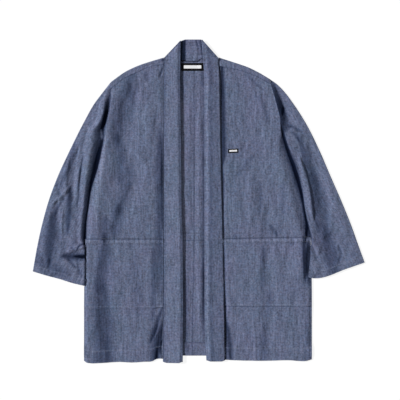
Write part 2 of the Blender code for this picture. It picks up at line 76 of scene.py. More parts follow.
# Heights that the faces keep to where nothing lifts them, and the air between two cloths
FRONT_Z = 5.6
SHOULDER_Z = 4.4
SLEEVE_Z = 6.2
EDGE_Z = 1.6
CLEAR = 0.35

# Long lines of the jacket
HEM_BACK_Y = -413.0
WAIST_BACK_Y = -104.0
NECK_Y = 375.0
CENTRE_BACK_X = -13.0
# How far the centre-back seam drifts below the waist, and over what length
CENTRE_DRIFT = 5.0
CENTRE_DRIFT_RUN = 275.0
# How far the stretch behind the neck ends inside the mitres, and how long the strips' last rise is
MITRE_INSET = 2.0
MITRE_RISE = 90.0

# Painted shade on the cloth: 0 is its own colour, 1 is black, and below 0 is paler, a painted
# highlight. The painted shade of an armhole's crease is even in its depth, ends softly, and has a
# weaker skirt.
DARKEST = 0.985
PALEST = -0.4
CREASE_SKIRT = 0.8
CREASE_SOFT = {"body": 3.0, "sleeve": 4.0}

Side = namedtuple(
    "Side", "sign shoulder forward armhole underarm sleeve cuff body waist pocket_y hem mitre band_end",
)

# One row for each side: the shoulder's fold from the neck to the armhole, the forward shoulder seam,
# the armhole down to the waist, the underarm seam on from there, the sleeve's outer fold, the cuff,
# the side seam below the waist, the waist seam, the pocket's lower edge, the hem, and the neckband's
# mitre and lower end.
SIDES = {
    "right": Side(
        sign=-1,
        shoulder=((-94, 384), (-131, 373), (-163, 362), (-195, 347), (-235.5, 318.5)),
        forward=((-94, 366), (-125, 361), (-165, 345), (-200, 328), (-236, 300)),
        armhole=(
            (-236, 300), (-236, 284), (-240, 262.5), (-245, 238.5), (-250.5, 212), (-255.5, 190.5),
            (-255.5, 166.5), (-259.5, 147.5), (-271.5, 94), (-287, 40.5), (-296, -13),
            (-301.5, -55.5), (-303, -102),
        ),
        underarm=((-302.5, -102), (-300, -118), (-299.5, -165), (-301, -215), (-303, -226)),
        sleeve=(
            (-235.5, 318.5), (-256, 292), (-280, 260), (-307, 212), (-347, 132),
            (-377, 67), (-401, 3), (-419, -61), (-433, -125), (-444, -187),
        ),
        cuff=((-303, -226.5), (-339, -218), (-372, -207.5), (-404, -199), (-444, -187)),
        body=((-303, -102), (-303, -170), (-303.5, -205), (-306.5, -230), (-307, -300), (-307, -432)),
        waist=((-94, -102), (-303, -102)),
        pocket_y=-284.0,
        hem=(
            (-95, -420.5), (-104, -419.5), (-113, -421), (-124, -426.5), (-146, -428), (-180, -430),
            (-211, -428.5), (-262, -431.5), (-290, -432), (-301, -430), (-307, -425.5),
        ),
        mitre=((-93, 383), (-48, 428)),
        band_end=-431.0,
    ),
    "left": Side(
        sign=1,
        shoulder=((53, 384), (91, 372), (136, 356), (160, 344), (190, 326)),
        forward=((55, 361), (95, 353), (130, 343), (160, 330), (193.5, 312)),
        armhole=(
            (193.5, 312), (196, 303), (204, 276), (211, 249), (218, 222), (221, 201), (224.5, 180),
            (231, 153), (239.5, 126), (249.5, 99.5), (258.5, 73), (267, 46), (274.5, 19.5),
            (279.5, -7.5), (284, -34), (289.5, -61), (299, -97),
        ),
        underarm=((299.4, -97), (299.8, -112), (297.5, -144), (292, -202)),
        sleeve=(
            (190, 326), (207, 314), (229, 292), (253, 260), (284, 212), (324, 132),
            (352, 67), (380, 3), (406, -61), (429, -125), (443, -163),
        ),
        cuff=((292, -202), (303, -204.5), (335, -202), (351, -197), (383, -184), (443, -163)),
        body=((299, -97), (301, -170), (302, -240), (302, -425)),
        waist=((62, -101), (299, -97)),
        pocket_y=-279.0,
        hem=((68, -423), (110, -424.5), (174, -425.5), (240, -424), (288, -425.5), (302, -422)),
        mitre=((52, 383), (7, 431)),
        band_end=-427.0,
    ),
}

# The neckband's edges down each front, a row for each height.
BAND_EDGES = np.array(
    (
        # y, right outer, right inner, left inner, left outer
        (330, -93.0, -50.0, 15.0, 55.9),
        (137, -94.0, -47.0, 15.0, 58.9),
        (-37, -93.5, -45.5, 15.0, 63.1),
        (-80, -93.7, -43.0, 15.0, 63.8),
        (-225, -94.5, -42.3, 15.3, 67.1),
        (-280, -94.8, -41.5, 15.4, 67.9),
        (-330, -95.0, -42.5, 16.0, 68.6),
        (-432, -95.0, -43.0, 20.0, 69.5),
    )
)

Fold = namedtuple("Fold", "x0 y0 x1 y1 x2 y2 left right rise dark", defaults=(0.0,))

# Folds of each cloth, a row for each: its line from end to end by way of a middle point, its reach on
# the left and on the right of that line, its rise (a trough's is negative), and how much painted shade
# lies along it (a painted highlight where negative); rows without a rise are painted only.
FOLDS = {
    "front": (
        (-165, 324, -192, 225, -182, 110, 35, 30, -4.0),
        (-171, 57, -195, -21, -238, -90, 28, 24, -3.4),
        (-248, -130, -251, -264, -246, -403, 24, 34, -3.2),
        (-99, 60, -100, -100, -100, -265, 34, 34, -3.4),
        (-133, 270, -136, 120, -133, -30, 40, 35, 2.6),
        (-198, 172, -174, 137, -142, 97, 30, 20, 3.0),
        (-240, 215, -264, 60, -277, -80, 12, 13, 0.0, -0.22),
        (-170, 372, -205, 249, -228, 130, 36, 30, 0.0, 0.36),
        (-222, 190, -208, 110, -216, 35, 24, 20, 0.0, 0.38),
        (-178, 110, -197, 30, -222, -50, 24, 24, 0.0, 0.3),
        (-214, 3, -219, -56, -232, -104, 26, 30, 0.0, 0.38),
        (-248, -34, -254, -77, -254, -120, 20, 14, 0.0, 0.4),
        (-248, -75, -262, -163, -270, -260, 34, 20, 0.0, 0.46),
        (-256, -195, -252, -304, -246, -540, 32, 34, 0.0, 0.45),
        (-277, -185, -273, -300, -269, -540, 22, 22, 0.0, 0.25),
        (-246, -345, -246, -382, -246, -500, 8, 8, 0.0, 0.15),
        (-172, -140, -166, -220, -158, -330, 22, 26, 0.0, 0.13),
        (-101, 235, -101, 40, -100, -290, 8, 24, 0.0, 0.5),
        (-122, -108, -121, -215, -125, -338, 15, 11, 0.0, 0.4),
        (-103, -128, -103, -210, -102, -300, 6, 6, 0.0, -0.14),
        (-123, 66, -124, -8, -124, -92, 13, 12, 0.0, -0.14),
        (-96, 200, -96, 40, -95, -110, 6, 8, 0.0, 0.55),
        (-95, -110, -95, -180, -96, -264, 4, 4, 0.0, 0.3),
        (-94, -276, -111, -322, -134, -388, 10, 10, -1.4, 0.62),
        (-92, -306, -101, -354, -118, -450, 10, 10, -0.8, 0.45),
        (-102, -310, -114, -380, -116, -500, 18, 22, -0.8, 0.5),
        (-98, -303, -108, -340, -119, -368, 4, 4, 1.2, -0.3),
        (-95, -362, -101, -385, -103, -416, 4, 4, 0.0, 0.45),
        (-95, -300, -99.5, -345, -101, -430, 5, 4, 0.0, 0.34),
        (-108, -326, -116, -375, -116, -500, 14, 14, 0.0, 0.2),
        (-238, -85, -237, -240, -235, -500, 22, 26, 0.0, 0.12),
        (-158, 330, -174, 270, -184, 190, 14, 14, 0.0, 0.16),
        (140, -85, 175, -80, 230, -80, 24, 20, 0.0, 0.11),
        (186, -226, 182, -290, 180, -352, 18, 16, 0.0, 0.1),
        (224, 62, 224, 10, 226, -44, 14, 14, 0.0, 0.22),
        (-186, 345, -182, 310, -176, 262, 9, 12, -2.2, 0.1),
        (-143, 348, -140, 335, -132, 318, 12, 12, -2.2, 0.25),
        (-93, 368, -99, 349, -105, 328, 4, 5, -2.6, 0.6),
        (123, 346, 145, 321, 180, 293, 6, 6, -2.0, 0.25),
        (145, 298, 169, 257, 190, 201, 10, 10, 0.0, 0.18),
        (158, 303, 171.5, 230, 179.5, 110, 12, 10, 1.4),
        (126, 164, 118, 124, 110, 83, 8, 8, -1.0),
        (153, 129, 129, 102, 97, 65, 12, 12, 0.0, 0.2),
        (161, 62, 166, 9, 162, -45, 8, 8, -1.0, 0.28),
        (137, 83, 137, 10, 138, -64, 20, 16, 2.0),
        (185, -58, 201, -80, 212, -98, 8, 8, 0.0, 0.35),
        (185, 30, 184, -190, 186, -420, 30, 25, -2.4),
        (171, -104, 173, -163, 169, -256, 12, 12, 0.0, 0.3),
        (191, -232, 190, -254, 180, -312, 8, 8, 0.0, 0.22),
        (174, -318, 174, -371, 174, -500, 20, 20, 0.0, 0.28),
        (286, -296, 290, -358, 290, -500, 12, 16, 0.0, 0.2),
        (98, -82, 97, -95, 96, -106, 6, 6, 0.0, 0.3),
        (206, -77, 208, -88, 212, -101, 4, 4, -1.4, 0.25),
        (252, -98, 252, -109, 252, -118, 6, 6, -1.4, 0.3),
        (70, -230, 71, -330, 72, -540, 7, 6, -4.6, 0.6),
        (74, -305, 82, -385, 90, -540, 11, 10, 0.0, 0.75),
        (268, -88, 270, -150, 275, -215, 28, 34, 3.5),
        (280, -84, 280, -152, 284, -228, 11, 8, 0.0, 0.85),
        (290, -94, 290, -152, 293, -232, 14, 8, 0.0, 0.8),
        (290, -44, 286, -80, 284, -118, 6, 4, 0.0, 0.9),
    ),
    "back": (
        (-27, 330, -27, 120, -26, -95, 11, 11, 1.0),
        (2, 330, 1, 90, 2, -380, 14, 12, 2.6),
        (15, 355, 15, 0, 15, -400, 6, 8, 0.0, 0.5),
        (12, -115, 12, -240, 12, -375, 4, 6, 0.0, 0.6),
        (10, 352, 9, 330, 12, 300, 8, 8, 0.0, 0.4),
        (-46, 395, -45, 330, -43, 260, 9, 9, 0.0, 0.45),
        (-39, -135, -36, -280, -36, -425, 10, 10, 0.0, 0.46),
        (-26.5, 330, -26.5, 304, -26.5, 278, 5, 5, 0.0, -0.15),
        (-6.5, -120, -5, -224, 3, -350, 5, 5, 0.0, -0.18),
        (-30, -112, -31, -240, -30, -370, 10, 10, 1.0),
        (-36, -372, -35, -392, -37, -412, 5, 5, 1.6, 0.1),
        (-27, -380, -29, -395, -31, -412, 4, 4, 0.0, 0.35),
    ),
    "right sleeve": (
        (-309, 129, -321, 65, -322, -5, 5, 9, 2.6),
        (-306, 137, -317, 67, -326, -37, 4, 5, -1.5, 0.35),
        (-319, 150, -335, 65, -333, -10, 6, 18, -3.6),
        (-342, 137, -355, 65, -355, 11, 8, 10, 2.4),
        (-283, 158, -290, 100, -297, 42, 13, 13, 0.0, -0.3),
        (-372, -66, -376, -112, -372, -170, 24, 34, 0.0, 0.12),
        (-329, 164, -350, 89, -376, 30, 14, 10, 0.0, 0.35),
        (-342, 43, -366, 14, -393, -7.5, 8, 8, 3.0, -0.15),
        (-344, 50, -345, -10, -352, -100, 11, 14, 0.0, 0.7),
        (-366, 0.5, -377, -18, -385, -40, 6, 8, 0.0, 0.5),
        (-377, 16, -374, -69, -371, -117, 6, 26, -3.8),
        (-384, -14, -396, -90, -400, -180, 22, 24, 0.0, 0.6),
        (-361, -6, -367, -60, -361, -128, 6, 3, 2.0, -0.1),
        (-364, -4, -371, -60, -366, -128, 3, 4, 0.0, 0.22),
        (-384, 60, -372, 25, -352, -6, 6, 8, -2.0, 0.25),
        (-339, -37, -339, -82, -337, -120, 22, 20, 2.8),
        (-356, -138, -334, -131, -306, -121, 14, 7, 5.2),
        (-374, -146, -345, -148, -282, -149, 17, 15, -1.2, 0.78),
        (-338, -147, -316, -148, -270, -148, 7, 7, -1.6, 0.6),
        (-343, -120, -336, -127, -326, -136, 3.5, 3.5, 0.0, 0.5),
        (-262, 194, -260.5, 180, -259, 164, 5, 5, 1.5, -0.8),
        (-328, -136, -320, -120, -298, -111, 4, 4, 0.0, 0.85),
        (-325, -138, -314, -126, -299, -117, 4, 4, 0.6, -0.3),
        (-366, -160, -340, -168, -310, -164, 9, 10, 2.0),
        (-352, -153, -338, -166, -325, -181, 6, 6, -2.0, 0.5),
        (-325, -150, -321, -178, -315, -200, 5, 5, -2.0, 0.34),
        (-314, -180, -314, -195, -313, -210, 3, 3, 0.0, 0.5),
        (-397, -150, -399, -172, -399, -200, 5, 6, -1.4, 0.2),
        (-480, -110, -405, -172, -330, -205, 26, 26, 0.0, 0.32),
        (-381, -163, -381, -180, -381, -200, 4, 5, 0.0, 0.3),
    ),
    "left sleeve": (
        (266, 126, 290, 46, 307, -61, 9, 16, 6.0),
        (258, 196, 290, 67, 316, -90, 32, 5, 0.0, 0.5),
        (300, 100, 337, -25, 352, -118, 20, 24, 0.0, 0.34),
        (290, 178, 326, 43, 345, -95, 26, 26, -4.4),
        (341, -86, 350, -130, 356, -175, 22, 26, -3.6),
        (314, -45, 345, -112, 368, -235, 28, 34, 0.0, 0.46),
        (351, 84, 377, -10, 399, -117, 24, 24, 0.9),
        (371, -112, 380, -144, 372, -168, 5, 8, -2.0, 0.35),
        (360, -112, 366, -145, 360, -172, 10, 10, 0.0, 0.15),
        (329, -78, 340, -98, 351, -118, 6, 6, -1.6, 0.1),
        (233, 201, 254, 197, 281, 181, 7, 7, -2.0, 0.4),
        (244, 188, 258, 177, 268, 156, 7, 7, -1.0, 0.45),
        (236, 262, 226, 245, 222, 225, 8, 8, -1.4, 0.15),
        (295, -99, 309, -122, 323, -145, 20, 5, 3.6),
        (299, -110, 306, -125, 317, -148, 3, 9, -2.2),
        (320, -146, 314, -153, 304, -162, 4, 5, -1.8, 0.3),
        (345, 70, 385, -30, 428, -150, 14, 14, 0.0, -0.12),
        (309, -150, 310, -175, 311, -200, 13, 12, 1.5, -0.15),
    ),
}

Crest = namedtuple(
    "Crest",
    "y crease body_ramp body_rise body_fall sleeve_ramp sleeve_rise sleeve_fall"
    " body_core body_skirt sleeve_core sleeve_skirt dark",
)

# How the cloth stands beside each armhole's crease, a row for each height down it: the height in the
# crease; on the body, then on the sleeve, how far it takes to reach its crest, how far the crest
# stands up, and how far it takes to fall again; then how far the deep painted shade of the crease and
# the soft painted shade beside it reach, on the body and on the sleeve; and how dark that shade is.
CRESTS = {
    "right": (
        (320, 4.2, 8, 0.0, 20, 8, 0.5, 12, 0, 2, 0, 3, 0.15),
        (290, 3.2, 7, 1.0, 26, 12, 1.0, 14, 0, 3, 1, 6, 0.35),
        (263, 2.0, 6, 3.0, 34, 12, 4.0, 16, 2, 6, 6, 12, 0.72),
        (239, 1.6, 6, 4.5, 38, 10, 7.0, 18, 3, 8, 5.4, 11, 0.97),
        (212, 1.4, 7, 4.5, 38, 13, 7.0, 18, 2.5, 7, 6.7, 13, 0.98),
        (190, 1.4, 7, 4.5, 38, 25, 7.0, 18, 0, 10, 7, 25, 0.97),
        (169, 3.4, 7, 4.5, 38, 30, 7.0, 18, 0, 6, 6, 30, 0.85),
        (148, 1.4, 8, 4.5, 38, 30, 7.5, 18, 1, 6, 5.4, 30, 0.98),
        (121, 1.4, 14, 4.5, 38, 30, 8.0, 18, 1.5, 5, 9.4, 30, 0.98),
        (94, 1.4, 20, 4.5, 38, 26, 8.0, 18, 1.5, 4.5, 9.4, 24, 0.985),
        (67, 1.4, 22, 4.5, 38, 20, 7.0, 16, 1.5, 4.5, 8, 20, 0.985),
        (41, 1.5, 22, 4.5, 38, 16, 6.0, 15, 0.8, 4, 3.6, 17, 0.985),
        (14, 1.6, 24, 4.5, 38, 14, 5.5, 14, 0.5, 3.5, 2.4, 15, 0.97),
        (-13, 1.6, 24, 4.5, 38, 12, 5.0, 14, 0.5, 3.5, 1.2, 13, 0.98),
        (-40, 1.6, 22, 4.2, 38, 12, 4.5, 12, 0.5, 3, 1.2, 12, 0.97),
        (-66, 1.6, 22, 4.0, 38, 12, 4.0, 12, 0.5, 3, 2.2, 13, 0.97),
        (-93, 1.6, 18, 3.0, 36, 14, 4.0, 12, 0.5, 3, 4, 15, 0.985),
        (-120, 1.8, 12, 1.0, 30, 8, 3.0, 12, 1, 4, 4, 8, 0.97),
        (-147, 1.8, 8, 0.0, 20, 6, 2.0, 12, 1, 4, 3, 6, 0.97),
        (-173, 1.8, 8, 0.0, 20, 6, 1.0, 12, 0.5, 3, 1, 3, 0.7),
        (-200, 1.6, 6, 0.0, 20, 6, 1.0, 12, 1, 4, 3, 6, 0.97),
        (-232, 1.6, 5, 0.0, 20, 6, 0.5, 12, 1, 3, 2, 5, 0.8),
    ),
    "left": (
        (330, 4.4, 6, 0.0, 20, 10, 0.0, 20, 0, 2, 2, 8, 0.1),
        (312, 6.5, 4, 1.0, 36, 14, -2.0, 24, 0, 2, 5, 13, 0.55),
        (303, 7.0, 4, 1.0, 36, 14, -2.6, 24, 0, 2.5, 8, 15, 0.68),
        (276, 8.0, 4, 1.0, 40, 18, -3.4, 26, 0, 2.5, 10.7, 17, 0.83),
        (249, 8.0, 4, 1.0, 40, 20, -3.4, 26, 0, 3, 15, 21, 0.9),
        (222, 7.5, 4, 1.2, 42, 18, -3.4, 26, 0.5, 3, 12, 25, 0.8),
        (201, 5.0, 4, 2.4, 44, 14, -2.5, 24, 1, 4, 4, 38, 0.8),
        (180, 2.6, 6, 3.0, 44, 6, 0.5, 20, 2.5, 6, 2.7, 7, 0.95),
        (153, 1.6, 20, 3.4, 44, 5, 2.0, 20, 2.5, 14, 3.5, 7, 0.98),
        (126, 1.4, 26, 3.4, 44, 6, 2.4, 20, 2.5, 15, 4.2, 12, 0.98),
        (99, 1.4, 28, 3.4, 44, 8, 2.6, 20, 3.5, 15, 5.5, 14, 0.98),
        (73, 1.4, 30, 3.8, 44, 8, 3.0, 20, 4, 15, 5, 13, 0.985),
        (46, 1.4, 30, 4.2, 44, 6, 3.0, 20, 4, 16, 3.5, 9, 0.985),
        (19, 1.4, 30, 4.4, 44, 5, 3.0, 20, 4, 15, 2, 6, 0.985),
        (-7, 1.4, 28, 4.4, 44, 4, 3.0, 20, 3, 11, 0.5, 4, 0.96),
        (-34, 1.4, 28, 4.4, 44, 4, 3.0, 20, 3, 10, 0.5, 4, 0.96),
        (-61, 1.4, 28, 4.4, 44, 4, 3.0, 20, 4, 14, 1.5, 5, 0.97),
        (-88, 1.4, 26, 4.0, 44, 4, 3.0, 20, 9, 17, 1.5, 5, 0.8),
        (-120, 4.2, 26, 0.0, 44, 3, 1.0, 18, 1, 4, 0.5, 2, 0.4),
        (-210, 4.4, 26, 0.0, 44, 3, 1.0, 18, 1, 4, 0.5, 2, 0.2),
    ),
}

Label = namedtuple("Label", "x y width height tilt block_width block_height")
NECK_LABEL = Label(-17.0, 359.0, 61.0, 21.0, 0.0, 47.0, 9.0)
CHEST_LABEL = Label(91.5, 134.6, 27.0, 11.0, np.radians(3.0), 21.0, 5.0)


def ease(t):
    """0 up to t = 0, 1 from t = 1, with the smooth S of 3tt - 2ttt between."""
    t = np.clip(t, 0.0, 1.0)
    return t * t * (3.0 - 2.0 * t)


def bump(t):
    """1 at t = 0, falling as (1 - tt) squared to 0 at t = 1 and past it."""
    return (1.0 - np.clip(np.abs(t), 0.0, 1.0) ** 2) ** 2


def at_least(z, low, soft=0.8):
    """The larger of z and low, with its corner rounded: (z + low + root((z - low)^2 + soft^2)) / 2."""
    return 0.5 * (z + low + np.sqrt((z - low) ** 2 + soft * soft))


def rising(edge, z, t):
    """From the height of an edge at t = 0 to z at t = 1, by the smooth S."""
    return edge + (z - edge) * ease(t)


def curve(points, fractions):
    """Points at the given fractions of the length of a smooth curve (a cubic through each pair of a
    table's points, with the slopes that its neighbours give)."""
    p = np.array(points, float)
    if len(p) == 2:
        return p[0] + np.asarray(fractions)[:, None] * (p[1] - p[0])
    t = np.concatenate(([0.0], np.cumsum(np.linalg.norm(np.diff(p, axis=0), axis=1))))
    slope = np.gradient(p, t, axis=0)
    fine = np.linspace(0.0, t[-1], 1200)
    k = np.clip(np.searchsorted(t, fine, side="right") - 1, 0, len(t) - 2)
    h = (t[k + 1] - t[k])[:, None]
    s = (fine - t[k])[:, None] / h
    way = p[k] * (1 + 2 * s) * (1 - s) ** 2 + p[k + 1] * s * s * (3 - 2 * s)
    way += slope[k] * h * s * (1 - s) ** 2 - slope[k + 1] * h * s * s * (1 - s)
    run = np.concatenate(([0.0], np.cumsum(np.linalg.norm(np.diff(way, axis=0), axis=1))))
    want = np.asarray(fractions) * run[-1]
    return np.stack([np.interp(want, run, way[:, i]) for i in range(2)], axis=1)


def smooth(points, parts):
    """The smooth curve of a table's points, cut into equal parts."""
    return curve(points, np.linspace(0.0, 1.0, parts + 1))


def length_of(points):
    """Length of a row of points."""
    return np.linalg.norm(np.diff(np.asarray(points, float), axis=0), axis=1).sum()


# How far from a sewn or folded end the lines of a grid lie, before its even steps begin
NEAR_EDGE = np.array((0.0, 0.7, 1.5, 2.5, 4.0, 6.0, 8.5, 11.5))


def graded(length, step=STEP, start=True, end=True):
    """Fractions from 0 to 1 of a length: closer together at a sewn or folded end."""
    near = NEAR_EDGE[NEAR_EDGE < 0.4 * length]
    first = near if start else near[:1]
    last = length - (near[::-1] if end else near[:1])
    count = max(int(round((last[0] - first[-1]) / step)), 1)
    middle = np.linspace(first[-1], last[0], count + 1)[1:-1]
    return np.concatenate((first, middle, last)) / length


def shares(points):
    """Each point's share of the length along a row of points."""
    run = np.concatenate(([0.0], np.cumsum(np.linalg.norm(np.diff(points, axis=0), axis=1))))
    return run / run[-1]


def patch(near, far, start, end):
    """Coons patch: rows from near to far, columns from start to end, between four edges."""
    u = ((shares(near) + shares(far)) / 2)[None, :, None]
    v = ((shares(start) + shares(end)) / 2)[:, None, None]
    rows = near[None] * (1 - v) + far[None] * v
    columns = start[:, None] * (1 - u) + end[:, None] * u
    corners = (near[0] * (1 - u) + near[-1] * u) * (1 - v) + (far[0] * (1 - u) + far[-1] * u) * v
    return rows + columns - corners


def to_line(xy, line):
    """Distance of each place from a line of points, positive on its left, and the share along it."""
    line = np.asarray(line, float)
    a = line[:-1]
    ab = np.diff(line, axis=0)
    ap = xy[..., None, :] - a
    t = np.clip((ap * ab).sum(-1) / (ab * ab).sum(-1), 0.0, 1.0)
    off = np.linalg.norm(ap - t[..., None] * ab, axis=-1)
    nearest = off.argmin(-1)[..., None]
    side = np.sign(ab[:, 0] * ap[..., 1] - ab[:, 1] * ap[..., 0])
    length = np.linalg.norm(ab, axis=1)
    run = (np.cumsum(length) - length + t * length) / length.sum()
    off, side, run = (np.take_along_axis(m, nearest, -1)[..., 0] for m in (off, side, run))
    return off * np.where(side < 0, -1.0, 1.0), run


def away(xy, line):
    """Distance of each place from a line of points, on either side."""
    return np.abs(to_line(xy, line)[0])


def outwards(points, sign):
    """Unit directions in plan square to a row of points, on its left for sign 1, right for -1."""
    way = np.gradient(points, axis=0)
    way /= np.linalg.norm(way, axis=1)[:, None]
    return np.stack([-way[:, 1], way[:, 0]], axis=1) * sign


def raised(xy, z):
    """Places in plan with their heights."""
    return np.concatenate((xy, np.broadcast_to(z, xy.shape[:-1])[..., None]), axis=-1)


def turned(centre, out, radius, rest=0.0, steps=6):
    """Rows of a hairpin turn, from the under side up: a half circle about each centre."""
    angles = np.radians(np.linspace(-90.0, 90.0, steps + 1))
    return np.stack(
        [raised(centre + out * radius * np.cos(a), rest + radius + radius * np.sin(a)) for a in angles]
    )


def waves(place, seed, spacing, lean, count=28):
    """Uneven swell of spread 1: a sum of plane waves, each with its own length about the spacing, its
    own phase, and a direction that leans a little from the first axis."""
    pick = np.random.default_rng(seed)
    k = 2 * np.pi / (spacing * pick.uniform(0.55, 1.9, count))
    angle = pick.normal(0.0, lean, count)
    phase = pick.uniform(0, 2 * np.pi, count)
    x, y = place[..., 0, None], place[..., 1, None]
    return np.cos(x * k * np.cos(angle) + y * k * np.sin(angle) + phase).sum(-1) * np.sqrt(2 / count)


def ripple(distance, seed, spacing, count=12):
    """Uneven ripple of spread 1 along a seam: a sum of waves in the distance along it."""
    pick = np.random.default_rng(seed)
    k = 2 * np.pi / (spacing * pick.uniform(0.6, 1.7, count))
    phase = pick.uniform(0, 2 * np.pi, count)
    return np.cos(distance[..., None] * k + phase).sum(-1) * np.sqrt(2 / count)


# Uneven swell of each cloth, a row for each of its sizes: seed, height, spacing and lean
SWELLS = {
    "back": ((3, 0.5, 42.0, 0.5),),
    "front": ((10, 0.32, 34.0, 0.35), (15, 0.2, 15.0, 0.7)),
    "sleeve": ((60, 0.35, 30.0, 0.4), (64, 0.2, 13.0, 0.8)),
    "sleeve underneath": ((62, 0.4, 40.0, 0.5),),
    "neckband": ((70, 0.25, 38.0, 1.2), (72, 0.15, 14.0, 1.2)),
    "neckband back": ((80, 0.35, 22.0, 0.6),),
}

# Gathers along each sewn line: seed, spacing, reach and height
GATHERS = {
    "forward seam": (11, 11.0, 9.0, 0.35),
    "waist seam": (12, 11.0, 9.0, 0.4),
    "hem": (13, 13.0, 14.0, 0.45),
    "pocket mouth": (31, 9.0, 6.0, 0.35),
    "pocket bottom": (41, 10.0, 7.0, 0.25),
    "cuff": (61, 14.0, 18.0, 0.4),
    "neckband": (74, 12.0, 6.0, 0.15),
    "neckband back": (82, 11.0, 8.0, 0.4),
    "shoulder": (91, 11.0, 9.0, 0.3),
}

# Painted shade along each seam, crease and edge, and in a few spots: how strong it is and how far it
# reaches from its line; below 0 it is a painted highlight where a raised edge catches the light, at
# the hems, cuffs and pocket partly also the wear of the cloth
LINES = {
    "centre back": (0.4, 1.8),
    "back waist": (0.5, 2.0),
    "forward seam": (0.35, 2.0),
    "front waist": (0.7, 3.5),
    "beside neckband": (0.4, 2.5),
    "pocket mouth": (0.5, 1.2),
    "pocket bottom": (0.6, 2.5),
    "pocket mouth highlight and wear": (-0.32, 6.0),
    "pocket bottom highlight and wear": (-0.14, 2.5),
    "hem stitching highlight and wear": (-0.3, 2.0),
    "hem highlight and wear": (-0.16, 2.5),
    "cuff stitching highlight and wear": (-0.32, 2.2),
    "cuff highlight and wear": (-0.16, 2.0),
    "neckband edge": (0.35, 1.6),
    "neckband shade band": (0.2, 6.0),
    "neckband fold highlight": (-0.15, 4.0),
    "neckband edge highlight": (-0.15, 6.0),
    "mitre": (0.35, 2.5),
    "shoulder shade spot": (0.8, 6.0),
    "nape crease": (0.75, 3.0),
    "nape seam": (0.5, 2.5),
    "nape shade band": (0.66, 8.0),
}


def swell(place, cloth, sign=0):
    """Uneven swell of a cloth: its sizes added up, each side's with seeds of its own."""
    rows = SWELLS[cloth]
    return sum(height * waves(place, seed + sign, spacing, lean) for seed, height, spacing, lean in rows)


def puckers(xy, line, seam, sign=0):
    """Gathers beside a sewn line: a ripple along it that dies away on both sides as exp(-off/reach)."""
    seed, spacing, reach, height = GATHERS[seam]
    off, along = to_line(xy, line)
    return height * ripple(along * length_of(line), seed + sign, spacing) * np.exp(-np.abs(off) / reach)


def line_tone(name, off):
    """How dark a seam's line is at a distance from it: a bump of its own strength and reach."""
    strength, reach = LINES[name]
    return strength * bump(off / reach)


# A fold is narrower toward its ends, by this share at the very tip, and fades out over the last of it
FOLD_TIP = 0.4
FOLD_TAPER = 0.35
FOLD_FADE = 0.15


def folds(xy, cloth, field="rise"):
    """Sum of a cloth's folds, or of their darkness: each a bump across its line, narrower toward both
    ends and faded out at them."""
    total = np.zeros(xy.shape[:-1])
    for fold in (Fold(*row) for row in FOLDS[cloth]):
        if not getattr(fold, field):
            continue
        ends = ((fold.x0, fold.y0), (fold.x1, fold.y1), (fold.x2, fold.y2))
        off, along = to_line(xy, smooth(ends, 12))
        tip = np.minimum(along, 1 - along)
        reach = np.where(off > 0, fold.left, fold.right) * rising(FOLD_TIP, 1.0, tip / FOLD_TAPER)
        total += getattr(fold, field) * bump(off / reach) * ease(tip / FOLD_FADE)
    return total


def band_x(y, name, edge):
    """Where the neckband's inner or outer edge lies at a height down the front."""
    column = {"right": {"outer": 1, "inner": 2}, "left": {"inner": 3, "outer": 4}}[name][edge]
    return np.interp(y, BAND_EDGES[::-1, 0], BAND_EDGES[::-1, column])


def front_edge(ys, name):
    """A front's edge beside the neckband."""
    return np.stack([band_x(ys, name, "outer") + SIDES[name].sign * SEAM, ys], axis=1)


def centre_back(ys, gap):
    """The centre-back seam: straight to the waist, then drifting a little to the wearer's right."""
    drift = CENTRE_DRIFT * ease((WAIST_BACK_Y - ys) / CENTRE_DRIFT_RUN)
    return np.stack([CENTRE_BACK_X + gap - drift, ys], axis=1)


def armhole_line(side):
    """The armhole from the shoulder's fold, by the forward seam, down to the waist."""
    return np.vstack((side.shoulder[-1], smooth(side.armhole, 50)))


def sleeve_inner_line(side):
    """The armhole and the underarm seam on from it."""
    return np.vstack((armhole_line(side), smooth(side.underarm, 12)[1:]))


def crest_at(y, name):
    """A side's crests at each height, from the rows of its table."""
    table = np.array(CRESTS[name])[::-1]
    return Crest(y, *[np.interp(y, table[:, 0], column) for column in table.T[1:]])


def beside_crease(z, off, y, name, cloth):
    """Height of the body or the sleeve beside an armhole: from the crease's own up to z plus the
    crest, then down to z."""
    crest = crest_at(y, name)
    ramp, rise, fall = (getattr(crest, f"{cloth}_{field}") for field in ("ramp", "rise", "fall"))
    return rising(crest.crease, z + rise * (1 - ease((off - ramp) / fall)), off / ramp)


def crease_dark(off, y, name, cloth):
    """Painted shade in and beside an armhole's crease: even in its depth, then softly less, and a weaker
    skirt that falls away more slowly."""
    crest = crest_at(y, name)
    core, skirt = (getattr(crest, f"{cloth}_{field}") for field in ("core", "skirt"))
    deep = 1 - ease((off - core) / CREASE_SOFT[cloth])
    beside = 1 - ease((off - core) / (skirt - core))
    return crest.dark * np.maximum(deep, CREASE_SKIRT * beside)


# Painted shade in the groove beside the left strip of the neckband, where the strip's shadow falls: how
# dark it is, what share of that it has at the very edge, how wide it is and how softly it ends, and
# what it gains near the neck and at the chest
GROOVE_DARK = 0.8
GROOVE_EDGE = 0.86
GROOVE_WIDTH = 2.4
GROOVE_SOFT = 3.0
GROOVE_NECK_WIDTH = 6.0
GROOVE_NECK_SOFT = 7.0
GROOVE_CHEST_WIDTH = 2.2


